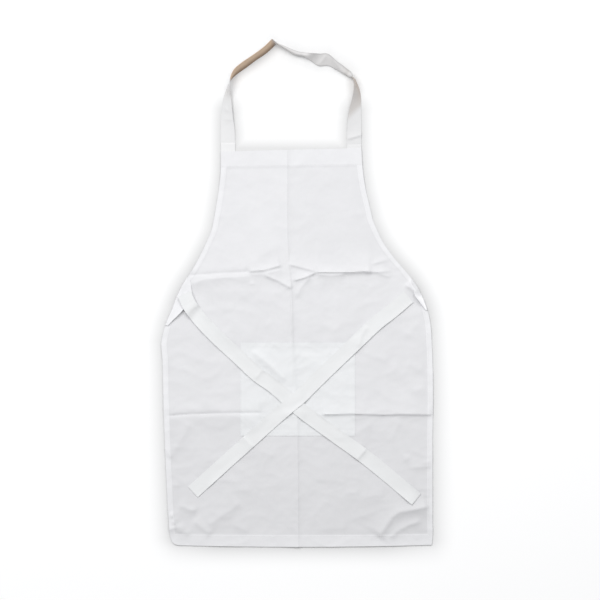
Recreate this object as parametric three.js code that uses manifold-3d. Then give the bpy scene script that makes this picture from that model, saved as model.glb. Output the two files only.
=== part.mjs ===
// A white cotton bib apron lying on its back with its front up. Millimetres, +Z up, +Y towards the neck.
// Bib and skirt are one cut of cloth with turned hems. The hip corners are folded over to the front by the
// ties that are sewn on them, and the ties cross on the skirt over a patch pocket.
import * as THREE from "three";
import { mergeVertices } from "three/addons/utils/BufferGeometryUtils.js";
import Module from "manifold-3d";

const { clamp, degToRad, lerp, mapLinear } = THREE.MathUtils;

// Cloth and tape
const CLOTH = 1.0; // wall of one layer of cloth
const HEM = 2.0; // wall of a turned hem, two layers
const HEM_STEP = 1.5; // run over which a hem thins to one layer
const SIDE_HEM = 12; // width of the hems along the sides and the armholes
const TOP_BAND = 37; // depth of the turned band along the top of the bib
const BOTTOM_HEM = 24; // depth of the hem along the bottom
const POCKET_HEM = 10; // width of the pocket's turned edges
const TAPE = 32; // width of the neck strap and of the ties
const LAY_GAP = 0.6; // clear space between a piece and the cloth that it lies on
const POCKET_GAP = 0.9; // clear space behind the pocket, whose facets lie across the panel's

// Fineness of the facets
const ROW_STEP = 36; // widest spacing of the panel's rows
const TIE_STEP = 14; // widest spacing of a tie's sections
const FOLD_LINES = [42, 20]; // columns beside the pressed centre fold, as distances from it
const CREASE_LINES = [-28, -13, 0, 13, 28]; // rows beside each pressed cross crease
const INNER_COLUMNS = 5; // columns between a hem and the lines beside the centre fold

// The panel's outline as it lies, from the bottom hem up to the top of the bib.
const OUTLINE = [
  { y: -565, left: -268, right: 300 },
  { y: -561, left: -280, right: 301 },
  { y: -547, left: -287, right: 302 },
  { y: -510, left: -291, right: 302 },
  { y: -420, left: -296, right: 302 },
  { y: -330, left: -300, right: 302 },
  { y: -240, left: -303, right: 303 },
  { y: -150, left: -305, right: 302 },
  { y: -105, left: -307, right: 300 },
  { y: -83, left: -302, right: 299 },
  { y: -60, left: -295, right: 296 },
  { y: -38, left: -285, right: 291 },
  { y: -15, left: -277, right: 283 },
  { y: 7, left: -267, right: 273 },
  { y: 30, left: -254, right: 258 },
  { y: 52, left: -239, right: 240 },
  { y: 75, left: -226, right: 220 },
  { y: 97, left: -215, right: 203 },
  { y: 120, left: -204, right: 188 },
  { y: 142, left: -195, right: 178 },
  { y: 165, left: -190, right: 168 },
  { y: 187, left: -186, right: 163 },
  { y: 232, left: -179, right: 152 },
  { y: 277, left: -174, right: 145 },
  { y: 324, left: -174, right: 142 },
];
const BOTTOM = OUTLINE[0].y;
const TOP = OUTLINE.at(-1).y;
const TOP_SLANT = 0.025; // rise of the top edge for each millimetre to the right
const SLANT_FROM = 200; // height on the bib where the slant begins
const BOTTOM_BOW = 4.5; // how far the bottom edge bows down at its middle
const BOW_FROM = -500; // height on the skirt where the bow begins
const HALF_WIDTH = 300; // half the skirt's width, for the bow

// The centre fold that was pressed in when the apron was packed: a low ridge from top to bottom.
const CENTRE_FOLD = [
  { y: -565, x: 0, height: 1.5 },
  { y: -284, x: -3, height: 2 },
  { y: -109, x: -12, height: 2 },
  { y: 15, x: -16, height: 3 },
  { y: 69, x: -21, height: 3 },
  { y: 324, x: -25, height: 2 },
];
const CENTRE_REACH = 42; // how far the ridge spreads to each side

// Pressed cross creases and the larger wrinkles. A ridge stands up, and a valley has a swell on both sides.
const UPPER_CREASE = 48; // height of the cross crease on the waist
const LOWER_CREASE = -271; // height of the cross crease on the skirt
const CREASES = [
  { kind: "valley", from: [-232, 42], to: [-104, 47], height: 2.5, reach: 40 },
  { kind: "ridge", from: [40, UPPER_CREASE], to: [202, UPPER_CREASE], height: 4, reach: 30 },
  { kind: "valley", from: [-291, -275], to: [-79, -268], height: 2, reach: 38 },
  { kind: "ridge", from: [56, LOWER_CREASE], to: [303, LOWER_CREASE], height: 3, reach: 30 },
  { kind: "ridge", from: [-246, -295], to: [-288, -370], height: 2, reach: 26 },
  { kind: "ridge", from: [234, -392], to: [292, -379], height: 2, reach: 26 },
  { kind: "ridge", from: [191, -543], to: [240, -493], height: 3, reach: 30 },
  { kind: "ridge", from: [240, -493], to: [292, -482], height: 3, reach: 30 },
];
// The diamond pucker where the centre fold meets the upper cross crease.
const PUCKER = { x: -21, y: 44, halfWidth: 66, halfDepth: 28, height: 6 };

// Hip corners folded over to the front. The fold follows the outline between two heights.
const HIPS = [
  { side: "left", from: 42, to: -73, tip: [-250, -28] },
  { side: "right", from: -42, to: 36, tip: [254, -10] },
];
const FOLD_RADIUS = 1.5; // radius of the fold at the middle of the cloth
const FOLD_ROOT = 8; // how far a folded corner is rooted in the panel's edge
const FOLD_ARC = [-90, -60, -30, 0, 30, 60, 90]; // angles of the facets round the fold, in degrees
const HIP_SECTIONS = 9; // sections along each fold
const HIP_ENDS = 0.1; // share of the fold left off at each end, where the corner runs out to nothing
const FOLD_MIDDLE = CLOTH + FOLD_RADIUS; // height of the fold's axis above the panel's lower face
const HIP_TOP = FOLD_MIDDLE + FOLD_RADIUS + CLOTH / 2; // height of a folded corner's upper face

const POCKET = { left: -130, right: 128, bottom: -320, top: -110 };
const POCKET_COLUMNS = 3; // columns between the pocket's edge and the lines beside the centre fold

// The neck strap from its left end, behind the band, round to its right end. One edge stays on the table.
// The other is as high as the tape's width leaves it, so the tape stands up where the two lie close.
const STRAP = [
  { floor: [-174, 294], raised: [-142, 294], wall: CLOTH },
  { floor: [-174, 318], raised: [-142, 318], wall: CLOTH },
  { floor: [-174, 332], raised: [-142, 332], wall: HEM },
  { floor: [-174, 340], raised: [-142, 340], wall: HEM },
  { floor: [-174, 342], raised: [-142, 342], wall: CLOTH },
  { floor: [-174, 368], raised: [-143, 368], wall: CLOTH },
  { floor: [-174, 391], raised: [-146, 391], wall: CLOTH },
  { floor: [-171, 418], raised: [-149, 418], wall: CLOTH },
  { floor: [-167, 444], raised: [-151, 444], wall: CLOTH },
  { floor: [-161, 461], raised: [-153, 460], wall: CLOTH },
  { floor: [-155, 475], raised: [-154, 476], wall: CLOTH },
  { floor: [-146, 487], raised: [-151, 490], wall: CLOTH },
  { floor: [-138, 494], raised: [-146, 501], wall: CLOTH },
  { floor: [-117, 509], raised: [-128, 518], wall: CLOTH },
  { floor: [-97, 524], raised: [-106, 533], wall: CLOTH },
  { floor: [-66, 546], raised: [-74, 557], wall: CLOTH },
  { floor: [-50, 562], raised: [-59, 572], wall: CLOTH },
  { floor: [-41, 557], raised: [-47, 564], wall: CLOTH },
  { floor: [-30, 551], raised: [-32, 557], wall: CLOTH },
  { floor: [-4, 537], raised: [2, 544], wall: CLOTH },
  { floor: [12, 534], raised: [15, 542], wall: CLOTH },
  { floor: [27, 525], raised: [31, 540], wall: CLOTH },
  { floor: [45, 513], raised: [49, 539], wall: CLOTH },
  { floor: [66, 513], raised: [66, 539], wall: CLOTH },
  { floor: [87, 503], raised: [87, 522], wall: CLOTH },
  { floor: [104, 494], raised: [108, 507], wall: CLOTH },
  { floor: [117, 485], raised: [120, 493], wall: CLOTH },
  { floor: [125, 477], raised: [123, 479], wall: CLOTH },
  { floor: [132, 472], raised: [123, 473], wall: CLOTH },
  { floor: [139, 454], raised: [123, 456], wall: CLOTH },
  { floor: [141, 438], raised: [121, 439], wall: CLOTH },
  { floor: [141, 416], raised: [116, 418], wall: CLOTH },
  { floor: [142, 386], raised: [111, 386], wall: CLOTH },
  { floor: [142, 357], raised: [110, 357], wall: CLOTH },
  { floor: [142, 338], raised: [110, 338], wall: HEM },
  { floor: [142, 326], raised: [110, 326], wall: CLOTH },
  { floor: [143, 301], raised: [111, 301], wall: CLOTH },
];
const STRAP_LIFT = CLOTH + LAY_GAP; // how far the band is lifted by a strap end behind it
const STRAP_MARGIN = 24; // how far that lift spreads round a strap end before it falls
const STRAP_FALL = 40; // run over which it then falls to nothing

// The ties' middle lines, from the hip where each is sewn on to its free end.
const LEFT_TIE = [
  [-256, 0],
  [-244, -26],
  [-222, -56],
  [-201, -79],
  [-127, -149],
  [-88, -185],
  [-59, -205],
  [-2, -255],
  [83, -318],
  [144, -362],
  [266, -462],
];
const RIGHT_TIE = [
  [248, -7],
  [207, -42],
  [182, -61],
  [137, -103],
  [31, -205],
  [4, -232],
  [-24, -255],
  [-113, -334],
  [-237, -446],
];
const FEEL = [0, 7, 14, 22]; // rings round a point of a tie where it feels for what it must clear
const FEEL_SPOKES = 12;

const COTTON = { color: 0xe6e6ea, roughness: 0.92, metalness: 0 };
const DOUBLED_COTTON = { color: 0xedeff0, roughness: 0.9, metalness: 0 };

// A table's column at a height y, straight between the table's rows.
function readTable(table, y, column) {
  const next = table.findIndex((row) => row.y >= y);
  if (next === 0) return table[0][column];
  if (next === -1) return table.at(-1)[column];
  const below = table[next - 1];
  const above = table[next];
  return mapLinear(y, below.y, above.y, below[column], above[column]);
}

function distanceToSegment(x, y, [x0, y0], [x1, y1]) {
  const length = Math.hypot(x1 - x0, y1 - y0);
  const share = ((x - x0) * (x1 - x0) + (y - y0) * (y1 - y0)) / length ** 2;
  const t = clamp(share, 0, 1);
  return Math.hypot(x - lerp(x0, x1, t), y - lerp(y0, y1, t));
}

// Height of a crease at a share of its reach: sharp at a ridge's line, two swells beside a valley's.
function creaseProfile(kind, share) {
  if (share >= 1) return 0;
  return kind === "ridge" ? (1 - share) ** 2 : (4 * share * (1 - share)) ** 2;
}

// Lift of the band over the strap ends behind it.
function liftOverStrapEnds(x, y) {
  const lifts = [STRAP[0], STRAP.at(-1)].map(({ floor, raised }) => {
    const aside = Math.abs(x - (floor[0] + raised[0]) / 2) - TAPE / 2;
    const beyond = Math.max(aside, floor[1] - y, 0);
    return STRAP_LIFT * clamp(1 - (beyond - STRAP_MARGIN) / STRAP_FALL, 0, 1);
  });
  return Math.max(...lifts);
}

// Height of the panel's lower face above the table.
function lift(x, y) {
  const foldShare = Math.abs(x - readTable(CENTRE_FOLD, y, "x")) / CENTRE_REACH;
  const fold = readTable(CENTRE_FOLD, y, "height") * creaseProfile("ridge", foldShare);
  const puckerShare = Math.abs(x - PUCKER.x) / PUCKER.halfWidth + Math.abs(y - PUCKER.y) / PUCKER.halfDepth;
  const pucker = PUCKER.height * creaseProfile("ridge", puckerShare);
  const creases = CREASES.map(({ kind, from, to, height, reach }) => {
    return height * creaseProfile(kind, distanceToSegment(x, y, from, to) / reach);
  });
  return Math.max(fold, pucker, ...creases) + liftOverStrapEnds(x, y);
}

// Wall of the panel at a place: two layers on its hems, one elsewhere.
function panelWall(x, y) {
  const inFromSide = Math.min(x - readTable(OUTLINE, y, "left"), readTable(OUTLINE, y, "right") - x);
  const onHem = inFromSide < SIDE_HEM + HEM_STEP / 2;
  const onBand = y > TOP - TOP_BAND - HEM_STEP / 2;
  const onBottom = y < BOTTOM + BOTTOM_HEM + HEM_STEP / 2;
  return onHem || onBand || onBottom ? HEM : CLOTH;
}

function panelTop(x, y) {
  return lift(x, y) + panelWall(x, y);
}

// The two triangles of a four-sided facet, from its corners in turn.
function twoTriangles(a, b, c, d) {
  return [a, b, c, a, c, d];
}

// A closed wall between an upper and a lower grid of points. The upper side faces columns cross rows.
function closedWall(upper, lower) {
  const rows = upper.length;
  const columns = upper[0].length;
  const index = [];
  const up = (r, c) => r * columns + c;
  const down = (r, c) => rows * columns + up(r, c);
  for (let r = 0; r + 1 < rows; r++) {
    for (let c = 0; c + 1 < columns; c++) {
      index.push(...twoTriangles(up(r, c), up(r, c + 1), up(r + 1, c + 1), up(r + 1, c)));
      index.push(...twoTriangles(down(r, c), down(r + 1, c), down(r + 1, c + 1), down(r, c + 1)));
    }
  }
  const rim = [];
  for (let c = 0; c + 1 < columns; c++) rim.push([0, c]);
  for (let r = 0; r + 1 < rows; r++) rim.push([r, columns - 1]);
  for (let c = columns - 1; c > 0; c--) rim.push([rows - 1, c]);
  for (let r = rows - 1; r > 0; r--) rim.push([r, 0]);
  rim.forEach((here, i) => {
    const next = rim[(i + 1) % rim.length];
    index.push(...twoTriangles(down(...here), down(...next), up(...next), up(...here)));
  });
  const points = [...upper.flat(), ...lower.flat()];
  const geometry = new THREE.BufferGeometry().setFromPoints(points);
  geometry.setIndex(index);
  geometry.computeVertexNormals();
  return geometry;
}

// A wall round a grid of points on its middle surface, with one thickness for each row.
function wallRound(middle, thickness) {
  const upper = [];
  const lower = [];
  middle.forEach((row, r) => {
    const before = middle[Math.max(r - 1, 0)];
    const after = middle[Math.min(r + 1, middle.length - 1)];
    const offsets = row.map((point, c) => {
      const across = row[Math.min(c + 1, row.length - 1)].clone().sub(row[Math.max(c - 1, 0)]);
      const along = after[c].clone().sub(before[c]);
      return across.cross(along).setLength(thickness[r] / 2);
    });
    upper.push(row.map((point, c) => point.clone().add(offsets[c])));
    lower.push(row.map((point, c) => point.clone().sub(offsets[c])));
  });
  return closedWall(upper, lower);
}

// Sorted places with none closer than a millimetre and none further apart than the step.
function spread(places, step) {
  const sorted = [...places].sort((a, b) => a - b);
  const apart = sorted.filter((place, i) => i === 0 || place - sorted[i - 1] > 1);
  return apart.flatMap((place, i) => {
    if (i === 0) return [place];
    const count = Math.ceil((place - apart[i - 1]) / step);
    return Array.from({ length: count }, (_, k) => lerp(apart[i - 1], place, (k + 1) / count));
  });
}

// Columns from one edge to the centre fold: the edge, its hem, even steps, and the lines beside the fold.
function halfColumns(edge, fold, hem, steps) {
  const inward = Math.sign(fold - edge);
  const first = edge + inward * (hem + HEM_STEP);
  const last = fold - inward * FOLD_LINES[0];
  const even = Array.from({ length: steps + 1 }, (_, i) => lerp(first, last, i / steps));
  const beside = FOLD_LINES.slice(1).map((distance) => fold - inward * distance);
  return [edge, edge + inward * hem, ...even, ...beside];
}

function columnsAt(y, left, right, hem, steps) {
  const fold = readTable(CENTRE_FOLD, y, "x");
  return [...halfColumns(left, fold, hem, steps), fold, ...halfColumns(right, fold, hem, steps).reverse()];
}

// A point of the panel moved for the slant of the top edge and the bow of the bottom one.
function onSlant(x, y) {
  const slant = TOP_SLANT * x * clamp(mapLinear(y, SLANT_FROM, TOP, 0, 1), 0, 1);
  const bow = BOTTOM_BOW * (1 - (x / HALF_WIDTH) ** 2) * clamp(mapLinear(y, BOW_FROM, BOTTOM, 0, 1), 0, 1);
  return y + slant - Math.max(bow, 0);
}

function flatPanel() {
  const hemLine = BOTTOM + BOTTOM_HEM;
  const bandLine = TOP - TOP_BAND;
  const hemLines = [hemLine, hemLine + HEM_STEP, bandLine - HEM_STEP, bandLine];
  const creaseLines = [UPPER_CREASE, LOWER_CREASE].flatMap((y) => CREASE_LINES.map((line) => y + line));
  const rows = spread([...OUTLINE.map((row) => row.y), ...hemLines, ...creaseLines], ROW_STEP);
  const grid = rows.map((y) => {
    const left = readTable(OUTLINE, y, "left");
    const right = readTable(OUTLINE, y, "right");
    return columnsAt(y, left, right, SIDE_HEM, INNER_COLUMNS).map((x) => ({ x, y }));
  });
  const face = (height) => grid.map((row) => {
    return row.map(({ x, y }) => new THREE.Vector3(x, onSlant(x, y), height(x, y)));
  });
  return closedWall(face(panelTop), face(lift));
}

// A hip corner's plan: where its fold starts and ends, its tip, and the direction in from the fold.
function hipPlan({ side, from, to, tip }) {
  const start = new THREE.Vector2(readTable(OUTLINE, from, side), from);
  const end = new THREE.Vector2(readTable(OUTLINE, to, side), to);
  const chord = end.clone().sub(start);
  const toTip = new THREE.Vector2(...tip).sub(start);
  const tipShare = toTip.dot(chord) / chord.lengthSq();
  const inward = toTip.clone().addScaledVector(chord, -tipShare);
  return { start, end, tipShare, depth: inward.length(), inward: inward.normalize() };
}

// Depth of a folded corner at a share of the way along its fold.
function hipDepth({ tipShare, depth }, share) {
  return depth * Math.min(share / tipShare, (1 - share) / (1 - tipShare));
}

// A hip corner: rooted in the panel's edge, round the fold, and back over the panel to its free edge.
function foldedCorner(hip) {
  const plan = hipPlan(hip);
  const sections = Array.from({ length: HIP_SECTIONS }, (_, i) => {
    const share = lerp(HIP_ENDS, 1 - HIP_ENDS, i / (HIP_SECTIONS - 1));
    const y = lerp(hip.from, hip.to, share);
    const edge = new THREE.Vector2(readTable(OUTLINE, y, hip.side), y);
    const axis = FOLD_RADIUS + CLOTH / 2;
    const root = { inside: FOLD_ROOT, z: FOLD_MIDDLE - FOLD_RADIUS };
    const arc = FOLD_ARC.map((angle) => ({
      inside: axis - FOLD_RADIUS * Math.cos(degToRad(angle)),
      z: FOLD_MIDDLE + FOLD_RADIUS * Math.sin(degToRad(angle)),
    }));
    const reach = hipDepth(plan, share);
    const cover = [1 / 3, 2 / 3, 1].map((part) => ({
      inside: lerp(axis, axis + reach, part),
      z: FOLD_MIDDLE + FOLD_RADIUS,
    }));
    return [root, ...arc, ...cover].map(({ inside, z }) => {
      const place = edge.clone().addScaledVector(plan.inward, inside);
      return new THREE.Vector3(place.x, place.y, z + lift(place.x, place.y));
    });
  });
  return wallRound(sections, sections.map(() => CLOTH));
}

// Height of the folded hip corners at a place, or zero away from them.
function hipTop(x, y) {
  const tops = HIPS.map((hip) => {
    const plan = hipPlan(hip);
    const chord = plan.end.clone().sub(plan.start);
    const from = new THREE.Vector2(x, y).sub(plan.start);
    const share = from.dot(chord) / chord.lengthSq();
    const inside = from.dot(plan.inward);
    const covered = share > 0 && share < 1 && inside < hipDepth(plan, share) + FOLD_ROOT;
    return covered ? HIP_TOP + lift(x, y) : 0;
  });
  return Math.max(...tops);
}

// A closed geometry as a solid that can be joined to others.
function toSolid(wasm, geometry) {
  const bare = geometry.clone().deleteAttribute("normal");
  const merged = mergeVertices(bare);
  const vertProperties = new Float32Array(merged.getAttribute("position").array);
  const triVerts = new Uint32Array(merged.index.array);
  return new wasm.Manifold(new wasm.Mesh({ numProp: 3, vertProperties, triVerts }));
}

function fromSolid(solid) {
  const { vertProperties, triVerts } = solid.getMesh();
  const geometry = new THREE.BufferGeometry();
  geometry.setAttribute("position", new THREE.BufferAttribute(vertProperties, 3));
  geometry.setIndex(new THREE.BufferAttribute(triVerts, 1));
  geometry.computeVertexNormals();
  return geometry;
}

async function panelGeometry() {
  const wasm = await Module();
  wasm.setup();
  const corners = HIPS.map((hip) => toSolid(wasm, foldedCorner(hip)));
  const joined = corners.reduce((panel, corner) => panel.add(corner), toSolid(wasm, flatPanel()));
  return fromSolid(joined);
}

function inPocket(x, y) {
  return x > POCKET.left && x < POCKET.right && y > POCKET.bottom && y < POCKET.top;
}

function pocketTop(x, y) {
  return inPocket(x, y) ? panelTop(x, y) + POCKET_GAP + HEM : 0;
}

function pocketGeometry() {
  const { left, right, bottom, top } = POCKET;
  const lowLine = bottom + POCKET_HEM;
  const highLine = top - POCKET_HEM;
  const hemLines = [lowLine, lowLine + HEM_STEP, highLine - HEM_STEP, highLine];
  const creaseLines = CREASE_LINES.map((line) => LOWER_CREASE + line);
  const rows = spread([bottom, top, ...hemLines, ...creaseLines], ROW_STEP);
  const turned = POCKET_HEM + HEM_STEP / 2;
  const wall = (x, y) => {
    const inFromEdge = Math.min(x - left, right - x, y - bottom, top - y);
    return inFromEdge < turned ? HEM : CLOTH;
  };
  const grid = rows.map((y) => {
    return columnsAt(y, left, right, POCKET_HEM, POCKET_COLUMNS).map((x) => {
      return new THREE.Vector3(x, y, panelTop(x, y) + POCKET_GAP);
    });
  });
  const upper = grid.map((row) => row.map((p) => new THREE.Vector3(p.x, p.y, p.z + wall(p.x, p.y))));
  return closedWall(upper, grid);
}

function strapGeometry() {
  const sections = STRAP.map(({ floor, raised, wall }) => {
    const apart = Math.hypot(raised[0] - floor[0], raised[1] - floor[1]);
    const rise = Math.sqrt(Math.max(TAPE ** 2 - apart ** 2, 0));
    const low = new THREE.Vector3(...floor, wall / 2);
    const high = new THREE.Vector3(...raised, wall / 2 + rise);
    return [low, low.clone().lerp(high, 0.5), high];
  });
  return wallRound(sections, STRAP.map((section) => section.wall));
}

// Points along a path of straight runs, none further apart than the step.
function stepsAlong(path, step) {
  const points = path.map(([x, y]) => new THREE.Vector2(x, y));
  return points.flatMap((point, i) => {
    if (i === 0) return [point];
    const count = Math.ceil(point.distanceTo(points[i - 1]) / step);
    return Array.from({ length: count }, (_, k) => points[i - 1].clone().lerp(point, (k + 1) / count));
  });
}

// Highest top of the layers under a place and close round it.
function restingHeight(layers, x, y) {
  const heights = FEEL.flatMap((radius) => {
    return Array.from({ length: FEEL_SPOKES }, (_, i) => {
      const angle = (2 * Math.PI * i) / FEEL_SPOKES;
      const at = [x + radius * Math.cos(angle), y + radius * Math.sin(angle)];
      return Math.max(...layers.map((top) => top(...at)));
    });
  });
  return Math.max(...heights);
}

// A tie's middle surface: sections of its left edge, middle and right edge, laid on the layers below.
function tieSections(path, layers) {
  const centres = stepsAlong(path, TIE_STEP);
  return centres.map((centre, i) => {
    const before = centres[Math.max(i - 1, 0)];
    const after = centres[Math.min(i + 1, centres.length - 1)];
    const along = after.clone().sub(before).normalize();
    const rightward = new THREE.Vector2(along.y, -along.x);
    return [-TAPE / 2, 0, TAPE / 2].map((aside) => {
      const { x, y } = centre.clone().addScaledVector(rightward, aside);
      return new THREE.Vector3(x, y, restingHeight(layers, x, y) + LAY_GAP + CLOTH / 2);
    });
  });
}

// Height of a laid tie's upper face at a place, or zero away from it.
function tieTop(sections, x, y) {
  const near = sections.flat().filter((point) => Math.hypot(point.x - x, point.y - y) < TAPE / 2);
  return Math.max(0, ...near.map((point) => point.z + CLOTH / 2));
}

function tieGeometry(sections) {
  return wallRound(sections, sections.map(() => CLOTH));
}

function piece(name, geometry, finish) {
  const mesh = new THREE.Mesh(geometry, new THREE.MeshStandardMaterial(finish));
  mesh.name = name;
  return mesh;
}

const skirtLayers = [panelTop, hipTop, pocketTop];
const leftSections = tieSections(LEFT_TIE, skirtLayers);
const rightSections = tieSections(RIGHT_TIE, [...skirtLayers, (x, y) => tieTop(leftSections, x, y)]);

const apron = new THREE.Group();
apron.name = "bib_apron";
apron.add(
  piece("panel", await panelGeometry(), COTTON),
  piece("pocket", pocketGeometry(), DOUBLED_COTTON),
  piece("neck_strap", strapGeometry(), DOUBLED_COTTON),
  piece("waist_tie_left", tieGeometry(leftSections), DOUBLED_COTTON),
  piece("waist_tie_right", tieGeometry(rightSections), DOUBLED_COTTON),
);

// The origin is on the table, at the middle of the whole outline.
const middle = new THREE.Box3().setFromObject(apron).getCenter(new THREE.Vector3());
apron.position.set(-middle.x, -middle.y, 0);

export default apron;
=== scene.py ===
import math

import bpy
import numpy as np
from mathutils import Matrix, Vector, noise


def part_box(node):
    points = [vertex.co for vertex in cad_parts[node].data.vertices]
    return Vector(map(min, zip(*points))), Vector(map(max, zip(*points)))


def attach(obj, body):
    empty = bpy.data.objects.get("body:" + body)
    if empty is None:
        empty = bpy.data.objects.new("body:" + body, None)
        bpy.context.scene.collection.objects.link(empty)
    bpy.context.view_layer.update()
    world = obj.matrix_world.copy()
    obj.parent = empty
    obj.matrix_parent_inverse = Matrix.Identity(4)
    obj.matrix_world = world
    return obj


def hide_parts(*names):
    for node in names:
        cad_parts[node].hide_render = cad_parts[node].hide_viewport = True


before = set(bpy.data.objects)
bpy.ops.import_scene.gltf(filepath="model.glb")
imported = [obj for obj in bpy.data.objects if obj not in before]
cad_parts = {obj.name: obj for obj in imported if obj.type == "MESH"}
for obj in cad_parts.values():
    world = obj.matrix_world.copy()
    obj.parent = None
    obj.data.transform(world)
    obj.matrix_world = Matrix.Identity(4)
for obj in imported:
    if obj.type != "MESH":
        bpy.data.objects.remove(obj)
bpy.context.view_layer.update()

# A white cotton bib apron laid on its back on a white table, seen from straight above.
# Lengths are millimetres on a drawing of the apron as it lies, with +Y towards the neck.
MM = 0.001
UP = np.array([0.0, 0.0, 1.0])

# Cloth and tape
CLOTH = 0.8  # wall of one layer of cloth
HEM = 1.3  # wall of a turned hem, two layers pressed flat
TAPE_WALL = 1.1  # wall of the doubled tape of the ties and the strap
TAPE = 32  # width of the ties and the strap
SIDE_HEM = 11  # width of the hems along the sides and the armholes
TOP_BAND = 37  # depth of the turned band along the top of the bib
BOTTOM_HEM = 24  # depth of the hem along the bottom
POCKET_HEM = 10  # width of the pocket's turned edges
HEM_STEP = 1.4  # run over which a hem thins to one layer
LAY_GAP = 0.3  # clear space between a piece and the cloth that it lies on
NOWHERE = -100.0  # height of a layer where it isn't

# The panel's outline from the bottom hem up to the top of the bib: height, left edge, right edge.
OUTLINE = np.array([
    (-565, -268, 300), (-564, -274, 300), (-561, -280, 301), (-556, -284, 301), (-547, -287, 302),
    (-510, -291, 302), (-420, -296, 302), (-330, -300, 302), (-240, -303, 303), (-150, -305, 302),
    (-105, -307, 300), (-83, -302, 299), (-60, -295, 296), (-38, -285, 291), (-15, -277, 283),
    (7, -267, 273), (30, -254, 258), (52, -239, 240), (75, -226, 220), (97, -215, 203),
    (120, -204, 188), (142, -195, 178), (165, -190, 168), (187, -186, 163), (232, -179, 152),
    (277, -174, 145), (324, -174, 142),
], dtype=float)
LEFT = 1  # column of the outline with the left edges
RIGHT = 2  # column of the outline with the right edges
BOTTOM = OUTLINE[0, 0]
TOP = OUTLINE[-1, 0]
TOP_SLANT = 0.025  # rise of the top edge for each millimetre to the right
SLANT_FROM = 200  # height on the bib where the slant begins
BOTTOM_BOW = 4.5  # how far the bottom edge bows down at its middle
BOW_FROM = -500  # height on the skirt where the bow begins
HALF_WIDTH = 300  # half the skirt's width, for the bow

# The centre fold, a sharp low ridge pressed in when the apron was packed: heights and places across.
CENTRE_FOLD = np.array([
    (-565, 0), (-284, -3), (-109, -12), (15, -16), (69, -21), (324, -25),
], dtype=float)
CENTRE_RISE = 2.7
CENTRE_RUNS = (13, 5)  # how far it falls away to its left and to its right

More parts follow.
